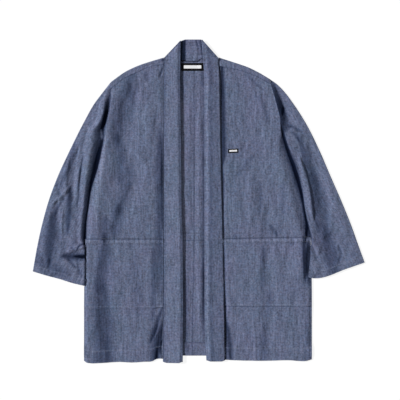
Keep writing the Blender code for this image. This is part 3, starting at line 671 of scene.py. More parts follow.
def band_dark(x, y, name):
    """Painted shade on a front beside the neckband: a fine line on the right, and on the left a deep
    groove that is widest near the neck and a little wider at the chest."""
    by_band = (x - band_x(y, name, "outer")) * SIDES[name].sign
    if name == "right":
        return line_tone("beside neckband", by_band)
    neck = ease((y - 90) / 40) * (1 - 0.3 * ease((y - 300) / 60))
    chest = bump((y - 50) / 90)
    width = GROOVE_WIDTH + GROOVE_NECK_WIDTH * neck + GROOVE_CHEST_WIDTH * chest
    soft = GROOVE_SOFT + GROOVE_NECK_SOFT * neck
    return GROOVE_DARK * rising(GROOVE_EDGE, 1.0, by_band / 5) * (1 - ease((by_band - width) / soft))


def front_dark(plan, name):
    """Painted shade and highlight of a front's folds, and painted shade of its groove beside the neckband.
    """
    return folds(plan, "front", "dark") + band_dark(plan[..., 0], plan[..., 1], name)


# The back keeps this far off the surface, and less where its hem presses it down
BACK_LIFT = 0.15
HEM_PRESS = 0.7


def back_under(xy):
    """Height of the back's under face: on the surface, with soft creases where it lifts off it."""
    lift = np.maximum(folds(xy, "back"), 0.0) + np.maximum(swell(xy, "back"), 0.0)
    hem = ease((HEM_BACK_Y + 8 - xy[..., 1]) / 8)
    return (BACK_LIFT + lift) * (1 - HEM_PRESS * hem)


def back_inside(xy):
    """Height of the top of the back, with its turned-up hem, and of the surface past the hem."""
    y = xy[..., 1]
    turned_up = ease((HEM_BACK_Y + BACK_HEM + 3 - y) / 3) * 2 * HEM_RADIUS
    past = ease((HEM_BACK_Y - 1 - y) / 3)
    return (back_under(xy) + np.maximum(SHELL, turned_up)) * (1 - past)


# Distances that a front takes to rise from its forward seam, from its waist's end and from its side
SHOULDER_REACH = 26.0
WAIST_REACH = 30.0
SIDE_REACH = 9.0


def band_dip(y, name):
    """How high a front lies at the neckband's edge, and how far it takes to rise from there: even on
    the right, and lower and wider toward the neck on the left."""
    if name == "right":
        return 4.0, 8.0
    return 2.8 - 1.0 * ease((y - 200) / 120), 10.0 + 12.0 * ease((y - 180) / 130)


def front_z(xy, name):
    """Height of a front's outer face: its level with folds and swell, lower at the neckband, the
    forward seam, the armhole and the side, gathered along its seams, and clear of the back."""
    side = SIDES[name]
    x, y = xy[..., 0], xy[..., 1]
    z = FRONT_Z + folds(xy, "front") + swell(xy, "front", side.sign)
    dip, reach = band_dip(y, name)
    z = rising(dip, z, (x - band_x(y, name, "outer")) * side.sign / reach)
    forward, waist, hem = smooth(side.forward, 24), smooth(side.waist, 4), smooth(side.hem, 12)
    z = rising(SHOULDER_Z, z, away(xy, forward) / SHOULDER_REACH)
    z += puckers(xy, forward, "forward seam", side.sign)
    above = ease((y - side.waist[-1][1]) / WAIST_REACH + 1)
    z += (beside_crease(z, away(xy, armhole_line(side)), y, name, "body") - z) * above
    z += (EDGE_Z - z) * (1 - ease(away(xy, side.body) / SIDE_REACH)) * (1 - above)
    z += puckers(xy, waist, "waist seam", side.sign) - bump(away(xy, waist) / 4)
    z += puckers(xy, hem + (0.0, FRONT_HEM - 8), "hem", side.sign)
    low = back_inside(xy) + SHELL + CLEAR + 0.3
    return at_least(z, low + 2 * HEM_RADIUS * ease((side.hem[0][1] + FRONT_HEM + 6 - y) / 5))


def pocket_z(xy, name):
    """Height of a pocket's outer face: a layer above the front that it is sewn to, thicker where its
    mouth's hem is turned in, and gathered along its mouth and its lower edge."""
    side = SIDES[name]
    (x0, y0), (x1, y1) = side.waist
    below = y0 + (y1 - y0) * np.clip((xy[..., 0] - x0) / (x1 - x0), 0, 1) - xy[..., 1]
    mouth = smooth(side.waist, 4) - (0.0, MOUTH_HEM)
    bottom = [(x, side.pocket_y) for x, _ in side.hem]
    z = front_z(xy, name) + SHELL + CLEAR + bump(below / 4)
    z += 2 * HEM_RADIUS * (1 - ease((below - MOUTH_HEM) / 3))
    z += np.abs(puckers(xy, mouth, "pocket mouth", side.sign))
    return z + np.abs(puckers(xy, bottom, "pocket bottom", side.sign))


# Along and across a sleeve, which leans out from the body: cosine and sine of its lean
LEAN_COS, LEAN_SIN = 0.92, 0.39
# How far a sleeve takes to round off at its outer fold, and how high its under side rides over the
# jacket's side on the left
SLEEVE_ROUND = 14.0
SLEEVE_OVER = 4.2


def sleeve_heights(xy, name):
    """Heights of the outer faces of a sleeve's under side and upper side."""
    side = SIDES[name]
    y = xy[..., 1]
    outer = away(xy, smooth(side.sleeve, 40)) - FOLD_RADIUS
    cuff = smooth(side.cuff, 20)
    lean = xy @ np.array(((LEAN_COS, LEAN_SIN * side.sign), (-LEAN_SIN * side.sign, LEAN_COS)))
    z = SLEEVE_Z + folds(xy, f"{name} sleeve") + swell(lean, "sleeve", side.sign)
    z = beside_crease(z, away(xy, sleeve_inner_line(side)), y, name, "sleeve")
    z = rising(2 * FOLD_RADIUS, z, outer / SLEEVE_ROUND)
    z += puckers(xy, cuff, "cuff", side.sign)
    under = np.maximum(swell(lean, "sleeve underneath", side.sign), 0.0) + 0.2
    under *= ease(outer / SLEEVE_ROUND)
    if side.sign > 0:
        inside = to_line(xy, side.body)[0] * side.sign
        beside = ease((10 - inside) / 8) * ease((side.body[0][1] + 2 - y) / 12)
        under += SLEEVE_OVER * beside * ease(outer / 10)
    hem = (4 * HEM_RADIUS + 0.3) * (1 - ease((away(xy, cuff) - CUFF_HEM) / 6)) * ease(outer / 8)
    z = at_least(z, under + 2 * SHELL + CLEAR + hem, 0.6)
    return under, rising(2 * FOLD_RADIUS, z, outer / 5)


def sheet_normals(points):
    """Unit normals of a grid, from the cross product of its differences along rows and columns."""
    along = np.gradient(points, axis=1)
    down = np.gradient(points, axis=0)
    normal = np.cross(along, down)
    return normal / np.maximum(np.linalg.norm(normal, axis=-1, keepdims=True), 1e-9)


def hemmed(points, depth, outward, radius=HEM_RADIUS, steps=5):
    """A grid whose last row is turned under: a half circle about it, and back along the rows before
    it, two radii inside. outward is 1 where the cross product of columns and rows points out."""
    normal = sheet_normals(points) * outward
    way = points[-1] - points[-2]
    way /= np.linalg.norm(way, axis=-1, keepdims=True)
    angles = np.radians(np.linspace(0.0, 180.0, steps + 1))[1:, None, None]
    turn = points[-1] - normal[-1] * radius * (1 - np.cos(angles)) + way * radius * np.sin(angles)
    back = np.linalg.norm(points[::-1] - points[-1], axis=-1).mean(1)
    count = int(np.searchsorted(back, depth))
    under = (points - normal * 2 * radius)[::-1][1:count + 1]
    return np.concatenate((points, turn, under))


def made(name, points, outward, material, grain, shade=None, keep=None, wall=SHELL):
    """One piece of cloth: a grid of its outer face, with a thin wall inwards.

    The mesh has four-sided faces between neighbouring points, a UV map of the places on the flat
    cloth in metres, and an attribute of painted shade at its seams, creases, folds and grooves,
    with painted highlights where it is negative.
    """
    rows, columns = points.shape[:2]
    index = np.arange(rows * columns).reshape(rows, columns)
    corners = [index[:-1, :-1], index[:-1, 1:], index[1:, 1:], index[1:, :-1]]
    quads = np.stack(corners, axis=-1).reshape(-1, 4)[:, ::1 if outward > 0 else -1]
    used = np.ones(rows * columns, bool)
    if keep is not None:
        quads = quads[keep.reshape(-1)[quads].all(axis=1)]
        used = np.zeros(rows * columns, bool)
        used[quads] = True
    quads = (np.cumsum(used) - 1)[quads]
    data = bpy.data.meshes.new(name)
    data.from_pydata((points.reshape(-1, 3)[used] * MM).tolist(), [], quads.tolist())
    flat = (grain.reshape(-1, 2)[used] * MM)[quads.reshape(-1)]
    data.uv_layers.new(name="grain").data.foreach_set("uv", flat.astype(np.float32).ravel())
    dark = np.zeros(rows * columns) if shade is None else shade.reshape(-1)
    store = data.attributes.new("shade", "FLOAT", "POINT")
    store.data.foreach_set("value", dark[used].astype(np.float32))
    piece = placed(name, data, material)
    solid = piece.modifiers.new("cloth wall", "SOLIDIFY")
    solid.thickness = wall * MM
    solid.offset = -1.0
    return piece


def placed(name, data, material):
    """Put a mesh into the scene as one smooth piece of the body, with its material."""
    data.shade_smooth()
    data.materials.append(material)
    piece = bpy.data.objects.new(name, data)
    bpy.context.scene.collection.objects.link(piece)
    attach(piece, BODY)
    return piece


def declared(piece, node, rests_on, cut, area=None, stitches=()):
    """Hide the solid from model.glb that the piece takes the place of."""
    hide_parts(node)


def spread(values, points, row=0):
    """Painted shade set into a piece's whole grid, from the given row and the first column on, and none
    elsewhere; it stays between the palest painted highlight and the darkest painted shade."""
    grid = np.zeros(points.shape[:2])
    grid[row:row + values.shape[0], :values.shape[1]] = np.clip(values, PALEST, DARKEST)
    return grid


# The back neck's edge: how far from the centre seam it starts to rise to the shoulder, and how much
# higher it lies on the left of the label
NECK_LEVEL = 38.0
NECK_STEP = 5.5


def neck_line(side, columns):
    """The back neck's edge from the centre seam to the shoulder: level, then up to the shoulder."""
    start = CENTRE_BACK_X + side.sign * SEAM / 2
    fold = smooth(side.shoulder, 12)
    end, top = (fold - outwards(fold, side.sign) * FOLD_RADIUS)[0]
    x = start + (end - start) * columns
    rise = ease((np.abs(x - CENTRE_BACK_X) - NECK_LEVEL) / (abs(end - CENTRE_BACK_X) - NECK_LEVEL))
    level = NECK_Y + NECK_STEP * ease((x + 2) / 5) * (side.sign > 0)
    return np.stack([x, level + rise * (top - level)], axis=1)


def side_line(side, ys):
    """The side seam below the waist."""
    body = np.array(side.body, float)[::-1]
    return np.stack([np.interp(ys, body[:, 1], body[:, 0]), ys], axis=1)


# Where a spot of painted shade lies on the shoulder's cloth beside the foot of the mitre
SHOULDER_SHADE_SPOT = {"right": (-96.5, 377.0), "left": (56.5, 379.0)}
# Rows of the shoulder's forward part, from its fold at 0 to the forward seam at 1
FORWARD_ROWS = np.array((0.12, 0.28, 0.46, 0.64, 0.78, 0.88, 0.94, 1.0))[:, None, None]
# How far the grain of the cloth behind is moved, so that it does not mirror the cloth before it
FORWARD_GRAIN = 8.0
HEM_GRAIN = 60.0
POCKET_GRAIN = (0.0, 3.7)
BAND_GRAIN = (3.1, 7.7)
NAPE_GRAIN = (5.0, 9.0)
# How dark the cut edge of the back's hem is
HEM_EDGE_DARK = 0.4


def make_back_upper(name, material):
    """Back above the waist: flat from the waist, round the shoulder's fold to the forward seam."""
    side = SIDES[name]
    across = graded(length_of(side.shoulder), COARSE)
    fold = curve(side.shoulder, across)
    out = outwards(fold, side.sign)
    centre = fold - out * FOLD_RADIUS
    neck = neck_line(side, graded(abs(fold[0, 0] - CENTRE_BACK_X), end=False))[:-1]
    far = np.vstack((neck, centre))
    arm = curve(side.armhole, graded(length_of(side.armhole), COARSE))
    arm = np.vstack((side.shoulder[-1], arm))[::-1]
    arm[0, 1] += SEAM / 2
    arm[-1] = centre[-1]
    start = np.array((neck[0, 0], WAIST_BACK_Y + SEAM / 2))
    near = start + shares(far)[:, None] * (arm[0] - start)
    middle = centre_back(start[1] + (NECK_Y - start[1]) * shares(arm), side.sign * SEAM / 2)
    plan = patch(near, far, middle, arm)
    flat = raised(plan, back_under(plan) * ease(away(plan, centre) / 10))
    forward = smooth(side.forward, 24)
    seam = curve(side.forward, across)
    seam += (fold - seam) / np.linalg.norm(fold - seam, axis=1)[:, None] * SEAM
    place = centre + (seam - centre) * FORWARD_ROWS
    gathers = ease(FORWARD_ROWS[..., 0] / 0.4) * puckers(place, forward, "shoulder", side.sign)
    over = np.concatenate((turned(centre, out, FOLD_RADIUS)[1:], raised(place, 2 * FOLD_RADIUS + gathers)))
    blank = np.broadcast_to(raised(neck, 0.0), (len(over), len(neck), 3))
    points = np.concatenate((flat, np.concatenate((blank, over), axis=1)))
    keep = np.ones(points.shape[:2], bool)
    keep[len(flat):, :len(neck)] = False
    grain = points[..., :2].copy()
    grain[len(flat):, :, 1] = 2 * grain[len(flat) - 1, :, 1] - grain[len(flat):, :, 1] + FORWARD_GRAIN
    shade = np.zeros(points.shape[:2])
    # Painted shade along the centre seam and in the back's folds, and on the shoulder along the forward seam
    # and in a spot beside the mitre
    shade[:len(flat)] = line_tone("centre back", plan[..., 0] - CENTRE_BACK_X) + folds(plan, "back", "dark")
    from_spot = np.linalg.norm(over[..., :2] - SHOULDER_SHADE_SPOT[name], axis=-1)
    dark = line_tone("forward seam", away(over[..., :2], forward)) + line_tone("shoulder shade spot", from_spot)
    shade[len(flat):, len(neck):] = dark
    cloth = f"cloth_back_upper_{name}"
    return made(cloth, points, -side.sign, material, grain, shade, keep)


def make_back_lower(name, material):
    """Back below the waist: flat to the hem, round it, and turned up inside."""
    side = SIDES[name]
    top, bottom = WAIST_BACK_Y - SEAM / 2, HEM_BACK_Y + HEM_RADIUS
    rows = graded(top - bottom, COARSE)
    middle = centre_back(top + (bottom - top) * rows, side.sign * SEAM / 2)
    side_top = side.body[0][1] - SEAM / 2
    edge = side_line(side, side_top + (bottom - side_top) * rows)
    columns = graded(abs(edge[0, 0] - middle[0, 0]), COARSE)[:, None]
    near, far = (middle[i] + (edge[i] - middle[i]) * columns for i in (0, -1))
    plan = patch(near, far, middle, edge)
    points = hemmed(raised(plan, back_under(plan)), BACK_HEM, side.sign)
    grain = points[..., :2].copy()
    grain[len(plan):, :, 1] += HEM_GRAIN
    # Painted shade along the seams and in the folds, and darker at the hem's cut edge
    shade = line_tone("centre back", points[..., 0] - centre_back(points[:, 0, 1], 0.0)[:, :1])
    shade += line_tone("back waist", points[..., 1] - WAIST_BACK_Y) + folds(points[..., :2], "back", "dark")
    least = np.where(np.arange(len(points)) == len(points) - 1, HEM_EDGE_DARK, 0.0)
    shade = np.maximum(shade, least[:, None])
    return made(f"cloth_back_lower_{name}", points, side.sign, material, grain, shade)


def make_front_upper(name, material):
    """Front above the waist: from the neckband to the armhole, up to the forward shoulder seam."""
    side = SIDES[name]
    arm = curve(side.armhole, graded(length_of(side.armhole)))[::-1]
    arm[0, 1] += SEAM / 2
    across = graded(length_of(side.waist))
    far = curve(side.forward, across)
    near = curve(side.waist, across) + (0.0, SEAM / 2)
    band = front_edge(near[0, 1] + (far[0, 1] - near[0, 1]) * shares(arm), name)
    near[0], far[0] = band[0], band[-1]
    near[-1], far[-1] = arm[0], arm[-1]
    plan = patch(near, far, band, arm)
    points = raised(plan, front_z(plan, name))
    # Painted shade in the folds, in the groove beside the neckband, along the seams and in the armhole's
    # crease
    dark = front_dark(plan, name) + line_tone("forward seam", away(plan, smooth(side.forward, 24)))
    dark += line_tone("front waist", away(plan, smooth(side.waist, 4)))
    dark += crease_dark(away(plan, armhole_line(side)), plan[..., 1], name, "body")
    shade = spread(dark, points)
    return made(f"cloth_front_upper_{name}", points, side.sign, material, plan, shade)


def lower_plan(name):
    """Places of a lower front and of the pocket on it, in rows from the waist to the hem, and how
    many of the rows the pocket has."""
    side = SIDES[name]
    across = graded(length_of(side.waist))
    near = curve(side.waist, across) - (0.0, SEAM / 2)
    far = curve(side.hem, across)
    pocket_rows = graded(near[0, 1] - side.pocket_y)
    below = graded(side.pocket_y - far[0, 1], start=False)[1:]

    def rows(top, bottom):
        pocket = top + (side.pocket_y - top) * pocket_rows
        return np.concatenate((pocket, side.pocket_y + (bottom - side.pocket_y) * below))

    band = front_edge(rows(near[0, 1], far[0, 1]), name)
    edge = side_line(side, rows(near[-1, 1], far[-1, 1]))
    near[0], far[0] = band[0], band[-1]
    near[-1], far[-1] = edge[0], edge[-1]
    return patch(near, far, band, edge), len(pocket_rows)


def make_front_lower(name, material):
    """Front below the waist, with its hem turned up inside."""
    side = SIDES[name]
    plan, _ = lower_plan(name)
    points = hemmed(raised(plan, front_z(plan, name)), FRONT_HEM, -side.sign)
    hem = smooth(side.hem, 24)
    # Painted shade in the folds, the groove and along the pocket's lower seam; painted highlight, partly
    # also wear, along the hem
    dark = front_dark(plan, name) + line_tone("pocket bottom", plan[..., 1] - side.pocket_y)
    dark += line_tone("hem stitching highlight and wear", away(plan, hem + (0.0, FRONT_HEM - 1.5)))
    dark += line_tone("hem highlight and wear", away(plan, hem))
    grain, shade = points[..., :2].copy(), spread(dark, points)
    return made(f"cloth_front_lower_{name}", points, -side.sign, material, grain, shade)


# Painted ticks of light along the pocket's mouth, between its stitches, partly also wear: the least and
# the spread of their strength, their spacing, and how far below the waist seam they lie
TICK_LEAST, TICK_SPREAD, TICK_SPACING, TICK_DROP = 0.6, 0.4, 6.0, 5.5


def make_pocket(name, material):
    """Patch pocket over the upper part of a lower front, with its mouth's hem turned in."""
    side = SIDES[name]
    plan, rows = lower_plan(name)
    plan = plan[:rows]
    flat = raised(plan, pocket_z(plan, name))
    points = hemmed(flat[::-1], MOUTH_HEM, side.sign)[::-1]
    mouth, along = to_line(plan, smooth(side.waist, 4))
    ticks = ripple(along * length_of(side.waist), 51 + side.sign, TICK_SPACING)
    # Painted shade in the folds, the groove and the mouth; painted highlight, partly also wear, below the
    # mouth and above the lower edge
    dark = front_dark(plan, name) + line_tone("pocket mouth", mouth)
    dark += (TICK_LEAST + TICK_SPREAD * ticks) * line_tone("pocket mouth highlight and wear", np.abs(mouth) - TICK_DROP)
    dark += line_tone("pocket bottom highlight and wear", plan[..., 1] - side.pocket_y - 2.5)
    grain, shade = points[..., :2] + POCKET_GRAIN, spread(dark, points, len(points) - len(flat))
    return made(f"cloth_pocket_{name}", points, -side.sign, material, grain, shade)


# A sleeve's cap is tucked under the shoulder: how far down the armhole it starts, how far the tuck
# goes, and how low it is pressed
SLEEVE_START = 0.15
CAP_TUCK = 7.0
CAP_PRESS = 0.8
SLEEVE_LEAN = 0.4


def make_sleeve(name, material):
    """Sleeve: one cloth from the armhole's front over to its outer fold and back underneath."""
    side = SIDES[name]
    arm = np.vstack((side.shoulder[-1], curve(side.armhole, graded(length_of(side.armhole)))))
    begin = arm[0] + (arm[1] - arm[0]) * SLEEVE_START
    below = curve(side.underarm, graded(length_of(side.underarm), start=False))[1:]
    arm = arm + outwards(arm, side.sign) * SEAM
    inner = np.vstack((begin + outwards(arm[:2], side.sign)[0] * SEAM, arm[1:], below))
    fold = curve(side.sleeve, shares(np.vstack((side.shoulder[-1], inner)))[1:])
    out = outwards(fold, side.sign)
    centre = fold - out * FOLD_RADIUS
    across = graded(np.linalg.norm(centre[-1] - inner[-1]))
    columns = across[:, None]
    near = inner[0] + (centre[0] - inner[0]) * columns
    far = curve(side.cuff, across)
    far = far + (inner[-1] - far[0]) * (1 - columns) + (centre[-1] - far[-1]) * columns
    plan = patch(near, far, inner, centre)
    under, over = sleeve_heights(plan, name)
    turn = np.swapaxes(turned(centre, out, FOLD_RADIUS)[-2:0:-1], 0, 1)
    flat = np.concatenate((raised(plan, over), turn, raised(plan, under)[:, ::-1]), axis=1)
    tuck = np.array(side.shoulder[-2], float) - side.shoulder[-1]
    tuck = np.append(tuck / np.linalg.norm(tuck) * CAP_TUCK, 0.0)
    flat = np.concatenate(((flat[:1] + tuck) * (1.0, 1.0, CAP_PRESS), flat))
    points = hemmed(flat, CUFF_HEM, -side.sign)
    lean = SLEEVE_LEAN * side.sign
    run = np.cumsum(np.linalg.norm(np.diff(flat, axis=1, prepend=flat[:, :1]), axis=-1), axis=1)
    run += (flat[:, :1, 0] * np.cos(lean) + flat[:, :1, 1] * np.sin(lean)) * side.sign
    grain = np.stack([run, flat[..., 1] / np.cos(lean)], axis=-1)
    turned_in = np.arange(len(points) - len(flat))[:, None, None] * 2.0
    grain = np.concatenate((grain, grain[-1:] - turned_in))
    y, cuff = plan[..., 1], away(plan, smooth(side.cuff, 20))
    # Painted shade in the armhole's crease and in the folds; painted highlight, partly also wear, round the
    # cuff
    dark = crease_dark(away(plan, sleeve_inner_line(side)), y, name, "sleeve")
    dark += folds(plan, f"{name} sleeve", "dark")
    dark += line_tone("cuff stitching highlight and wear", cuff - CUFF_HEM) + line_tone("cuff highlight and wear", cuff)
    shade = spread(dark, points, 1)
    return made(f"cloth_sleeve_{name}", points, -side.sign, material, grain, shade)


# The neckband's top face down each front: its height at its outer and inner edges, and how far it
# takes to rise from each.
BAND_TOPS = {"right": (6.6, 10.6, 2.5, 7.0), "left": (7.4, 10.0, 2.5, 10.0)}
BAND_FOLD = 2.0
BAND_OUTER_Z = 3.4
# How far in from each edge the strip's rounded lower corners reach, and how much they take off
BAND_CORNER = 9.0
BAND_CORNER_CUT = 2.4
# How far the strip sinks at its mitre, how high its under side is at its outer edge and what it gains
# toward the inner one, and how high it is behind the neck
MITRE_SINK = 3.2
BAND_UNDER = (2.4, 3.4)
NAPE_UNDER = 4.8


def band_plan(name):
    """Places of a front strip of the neckband: rows from its lower end up to the mitre, columns from
    its outer edge to the centre of its inner fold, with each row's outward direction at the fold."""
    side = SIDES[name]
    length = BAND_EDGES[0, 0] - side.band_end
    ys = side.band_end + length * graded(length, end=False)
    rise = graded(MITRE_RISE, start=False)[1:, None]
    edges = []
    for edge, end in zip(("outer", "inner"), side.mitre):
        line = np.stack([band_x(ys, name, edge), ys], axis=1)
        edges.append(np.vstack((line, line[-1] + (np.array(end) - line[-1]) * rise)))
    outer, inner = edges
    out = np.broadcast_to((-side.sign, 0.0), inner.shape)
    width = abs(inner[0, 0] - outer[0, 0])
    columns = graded(width)[:, None]
    plan = outer[:, None] * (1 - columns) + (inner - out * BAND_FOLD)[:, None] * columns
    across = width * columns[:, 0]
    corner = bump(across / BAND_CORNER) + bump((width - across) / BAND_CORNER)
    plan[..., 1] += BAND_CORNER_CUT * corner * (1 - ease((plan[..., 1] - side.band_end) / 40))
    return plan, out


def band_heights(plan, name):
    """Heights of a front strip's under side and upper side."""
    side = SIDES[name]
    x, y = plan[..., 0], plan[..., 1]
    from_outer, from_inner = np.abs(x - x[:, :1]), np.abs(x - x[:, -1:])
    share = from_outer / np.abs(x[:, -1:] - x[:, :1])
    outer_z, inner_z, outer_ramp, inner_ramp = BAND_TOPS[name]
    z = outer_z + (inner_z - outer_z) * share + swell(plan, "neckband", side.sign)
    z = rising(BAND_OUTER_Z, z, (from_outer + 0.6) / outer_ramp)
    z = rising(inner_z - 0.35 * inner_ramp, z, from_inner / inner_ramp)
    z += puckers(plan, plan[::6, 0] - (side.sign * 3.0, 0.0), "neckband", side.sign)
    z -= MITRE_SINK * (1 - ease(away(plan, side.mitre) / 7))
    under = np.minimum(z - 2 * BAND_FOLD, BAND_UNDER[0] + BAND_UNDER[1] * share)
    under = np.maximum(under, back_inside(plan) + CLEAR)
    under = np.maximum(under, NAPE_UNDER * ease((y - 366) / 8))
    z = np.maximum(z, under + 2 * BAND_FOLD * share + (2 * SHELL + CLEAR) * (1 - share))
    under[:, -1] = z[:, -1] - 2 * BAND_FOLD
    return under, z


def band_tone(from_outer, from_inner, y, name):
    """Painted highlight and shade along a front strip, for the light on its rounded top: the right is
    pale, darker toward both of its edges; the left is pale near its fold, with a painted dark dip beside
    that, and pale again at its outer edge near the neck."""
    if name == "right":
        return -0.06 + 0.36 * (1 - ease(from_outer / 9)) + 0.25 * (1 - ease(from_inner / 7))
    tone = line_tone("neckband shade band", from_inner - 15.5) + line_tone("neckband fold highlight", from_inner - 5)
    return 0.08 + tone + line_tone("neckband edge highlight", from_outer - 3) * ease((y - 90) / 40)


def make_neckband(name, material):
    """One front strip of the neckband, folded double, from its lower end up to the mitre."""
    side = SIDES[name]
    plan, out = band_plan(name)
    under, over = band_heights(plan, name)
    rows = range(len(plan))
    turn = [turned(plan[i:i + 1, -1], out[i:i + 1], BAND_FOLD, under[i, -1])[:, 0] for i in rows]
    turn = np.stack(turn)[:, -2:0:-1]
    flat = np.concatenate((raised(plan, over), turn, raised(plan, under)[:, ::-1][:, ::2]), axis=1)
    points = hemmed(flat[::-1], BAND_END_HEM, side.sign)[::-1]
    top = plan.shape[1]
    grain = points[..., :2] + BAND_GRAIN
    grain[:, top:, 0] = 2 * grain[:, top - 1:top, 0] - grain[:, top:, 0]
    off = np.abs(plan[..., 0] - plan[:, :1, 0])
    # Painted highlight and shade across the strip, along its outer edge and along its mitre
    dark = band_tone(off, off[:, -1:] - off, plan[..., 1], name)
    dark += line_tone("neckband edge", off) + line_tone("mitre", away(plan, side.mitre))
    shade = spread(dark, points, len(points) - len(flat))
    return made(f"cloth_neckband_{name}", points, -side.sign, material, grain, shade)


# The stretch behind the neck: its top edge from under one mitre to under the other, the radius of its
# fold, its height, the crease beside its middle, how low its upper side may lie, and how far in from
# its right end the painted shadow of the mitre reaches and how dark that is
NAPE_TOP = np.array(((-55, 422), (-49, 428), (-37, 432.3), (5, 432.3), (8.5, 429.5), (15, 422.5)))
NAPE_FOLD = 2.0
NAPE_HEIGHT = 56.0
NAPE_CREASE = ((-8.0, 430.0), (-4.0, 418.0), (0.0, 404.0))
NAPE_LEAST_Z = 2.4
NAPE_END_X = -37.0
NAPE_END_DARK = 0.9


def make_neckband_back(material):
    """The neckband's stretch behind the neck, folded double with its fold at the top."""
    right, left = SIDES["right"], SIDES["left"]
    columns = graded(80.0, end=False)
    seam = np.vstack((neck_line(right, columns)[::-1], neck_line(left, columns)[1:]))
    near = np.clip(seam[:, 0], right.mitre[0][0] + MITRE_INSET, left.mitre[0][0] - MITRE_INSET)
    near = np.stack([near, np.interp(near, seam[:, 0], seam[:, 1]) + 1.5 * SEAM], axis=1)
    share = (near[:, 0] - near[0, 0]) / (near[-1, 0] - near[0, 0])
    top_x = NAPE_TOP[0, 0] + (NAPE_TOP[-1, 0] - NAPE_TOP[0, 0]) * share
    top = np.stack([top_x, np.interp(top_x, NAPE_TOP[:, 0], NAPE_TOP[:, 1]) - NAPE_FOLD], axis=1)
    depth = graded(NAPE_HEIGHT, end=False)[:, None, None]
    plan = near * (1 - depth) + top * depth
    x, y, along = plan[..., 0], plan[..., 1], depth[..., 0]
    crease = away(plan, NAPE_CREASE)
    folded = ease((1 - along) / 0.2)
    z = 2 * NAPE_FOLD + swell(plan, "neckband back") * folded
    z -= 1.2 * bump(crease / 5) * ease((1 - along) / 0.1)
    z += puckers(plan, near[::4] + (0.0, 3.0), "neckband back") * folded
    upper = raised(plan, np.maximum(z, NAPE_LEAST_Z))
    turn = turned(top, np.array((0.0, 1.0)), NAPE_FOLD)[-2:0:-1]
    points = np.concatenate((upper, turn, raised(plan, 0.0)[::-1][::2]))
    shade = np.zeros(points.shape[:2])
    # Painted shade in the crease, along the seam, as the mitre's shadow at the right end, and in a band near
    # the left end
    dark = line_tone("nape crease", crease) * ease((y - 396) / 25)
    dark += line_tone("nape seam", along * NAPE_HEIGHT) + NAPE_END_DARK * (1 - ease((x - NAPE_END_X) / 4))
    shade[:len(upper)] = dark + line_tone("nape shade band", x - 11.0 + 0.18 * (y - 395))
    grain = points[..., 1::-1] + NAPE_GRAIN
    return made("cloth_neckband_back", points, 1, material, grain, shade)


# How high a label's cloth lies over its host at its sewn ends, how much it lifts between them, and
# how thick it is
LABEL_LIFT, LABEL_RISE, LABEL_WALL = 0.95, 0.4, 0.5


def make_label(name, label, host, material):
    """A woven label lying on its host, turned by its tilt: a grid with its ends sewn down."""
    across = (graded(label.width, 2.0) - 0.5)[None, :] * label.width
    down = (graded(label.height, 1.5) - 0.5)[:, None] * label.height
    cos, sin = np.cos(label.tilt), np.sin(label.tilt)
    plan = np.stack([label.x + across * cos - down * sin, label.y + across * sin + down * cos], axis=-1)
    ends = ease((label.width / 2 - np.abs(across)) / 3) * ease((label.height / 2 - np.abs(down)) / 2)
    points = raised(plan, host(plan) + LABEL_LIFT + LABEL_RISE * ends)
    grain = np.stack(np.broadcast_arrays(across, down), axis=-1)
    return made(f"tape_{name}", points, 1, material, grain, wall=LABEL_WALL)


# Rings along a stitch, a row for each: its place as a share of the stitch's length, and its size
STITCH_RINGS = np.array(((-0.5, 0.35), (-0.3, 1.0), (0.3, 1.0), (0.5, 0.35)))
STITCH_SIDES = 6
STITCH_LIFT = 0.12


def stitch_shape(length, radius):
    """Points and faces of one stitch: rings of six points along it, small, full, full, small."""
    number = np.arange(STITCH_SIDES)
    turn = 2 * np.pi * number / STITCH_SIDES
    ring = np.stack([np.zeros(STITCH_SIDES), np.cos(turn), np.sin(turn)], axis=1)
    points = ring * STITCH_RINGS[:, 1, None, None] * radius
    points[..., 0] += STITCH_RINGS[:, :1] * length
    after = (number + 1) % STITCH_SIDES
    corners = np.stack([number, number + STITCH_SIDES, after + STITCH_SIDES, after], axis=1)
    sides = np.concatenate([corners + STITCH_SIDES * k for k in range(len(STITCH_RINGS) - 1)])
    last = STITCH_SIDES * (len(STITCH_RINGS) - 1)
    return points.reshape(-1, 3), sides, [number, (last + number)[::-1]]


def stitched(name, runs, settings, material):
    """Rows of stitches, one every pitch along each run; a run is a line in plan, the height of the
    cloth under it as a function of the place, and 1 or -1 for the side that it is seen from."""
    places, ways, ups = [], [], []
    for line, height, up in runs:
        total = length_of(line)
        count = max(int(total / settings.stitch_pitch), 2)
        half = 0.5 * settings.stitch_length / total
        middle = (np.arange(count) + 0.5) / count
        a, b = (curve(line, np.clip(middle + s * half, 0, 1)) for s in (-1, 1))
        a, b = raised(a, height(a)), raised(b, height(b))
        places.append((a + b) / 2 + (0.0, 0.0, up * STITCH_LIFT))
        ways.append((b - a) / np.linalg.norm(b - a, axis=1)[:, None])
        ups.append(np.full((count, 3), (0.0, 0.0, float(up))))
    places, ways, ups = (np.concatenate(part) for part in (places, ways, ups))
    across = np.cross(ups, ways)
    across /= np.linalg.norm(across, axis=1)[:, None]
    shape, sides, caps = stitch_shape(settings.stitch_length, settings.thread_radius)
    basis = np.stack([ways, across, np.cross(ways, across)], axis=1)
    points = places[:, None] + np.einsum("pk,nkc->npc", shape, basis)
    start = (np.arange(len(places)) * len(shape))[:, None]
    quads = (sides[None] + start[..., None]).reshape(-1, 4)
    ends = np.concatenate([cap[None] + start for cap in caps])
    data = bpy.data.meshes.new(name)
    data.from_pydata((points.reshape(-1, 3) * MM).tolist(), [], quads.tolist() + ends.tolist())
    return placed(name, data, material)


# How far the stitching lies from the neckband and from the back's centre seam
BAND_STITCH = 2.0
CENTRE_STITCH = 2.2


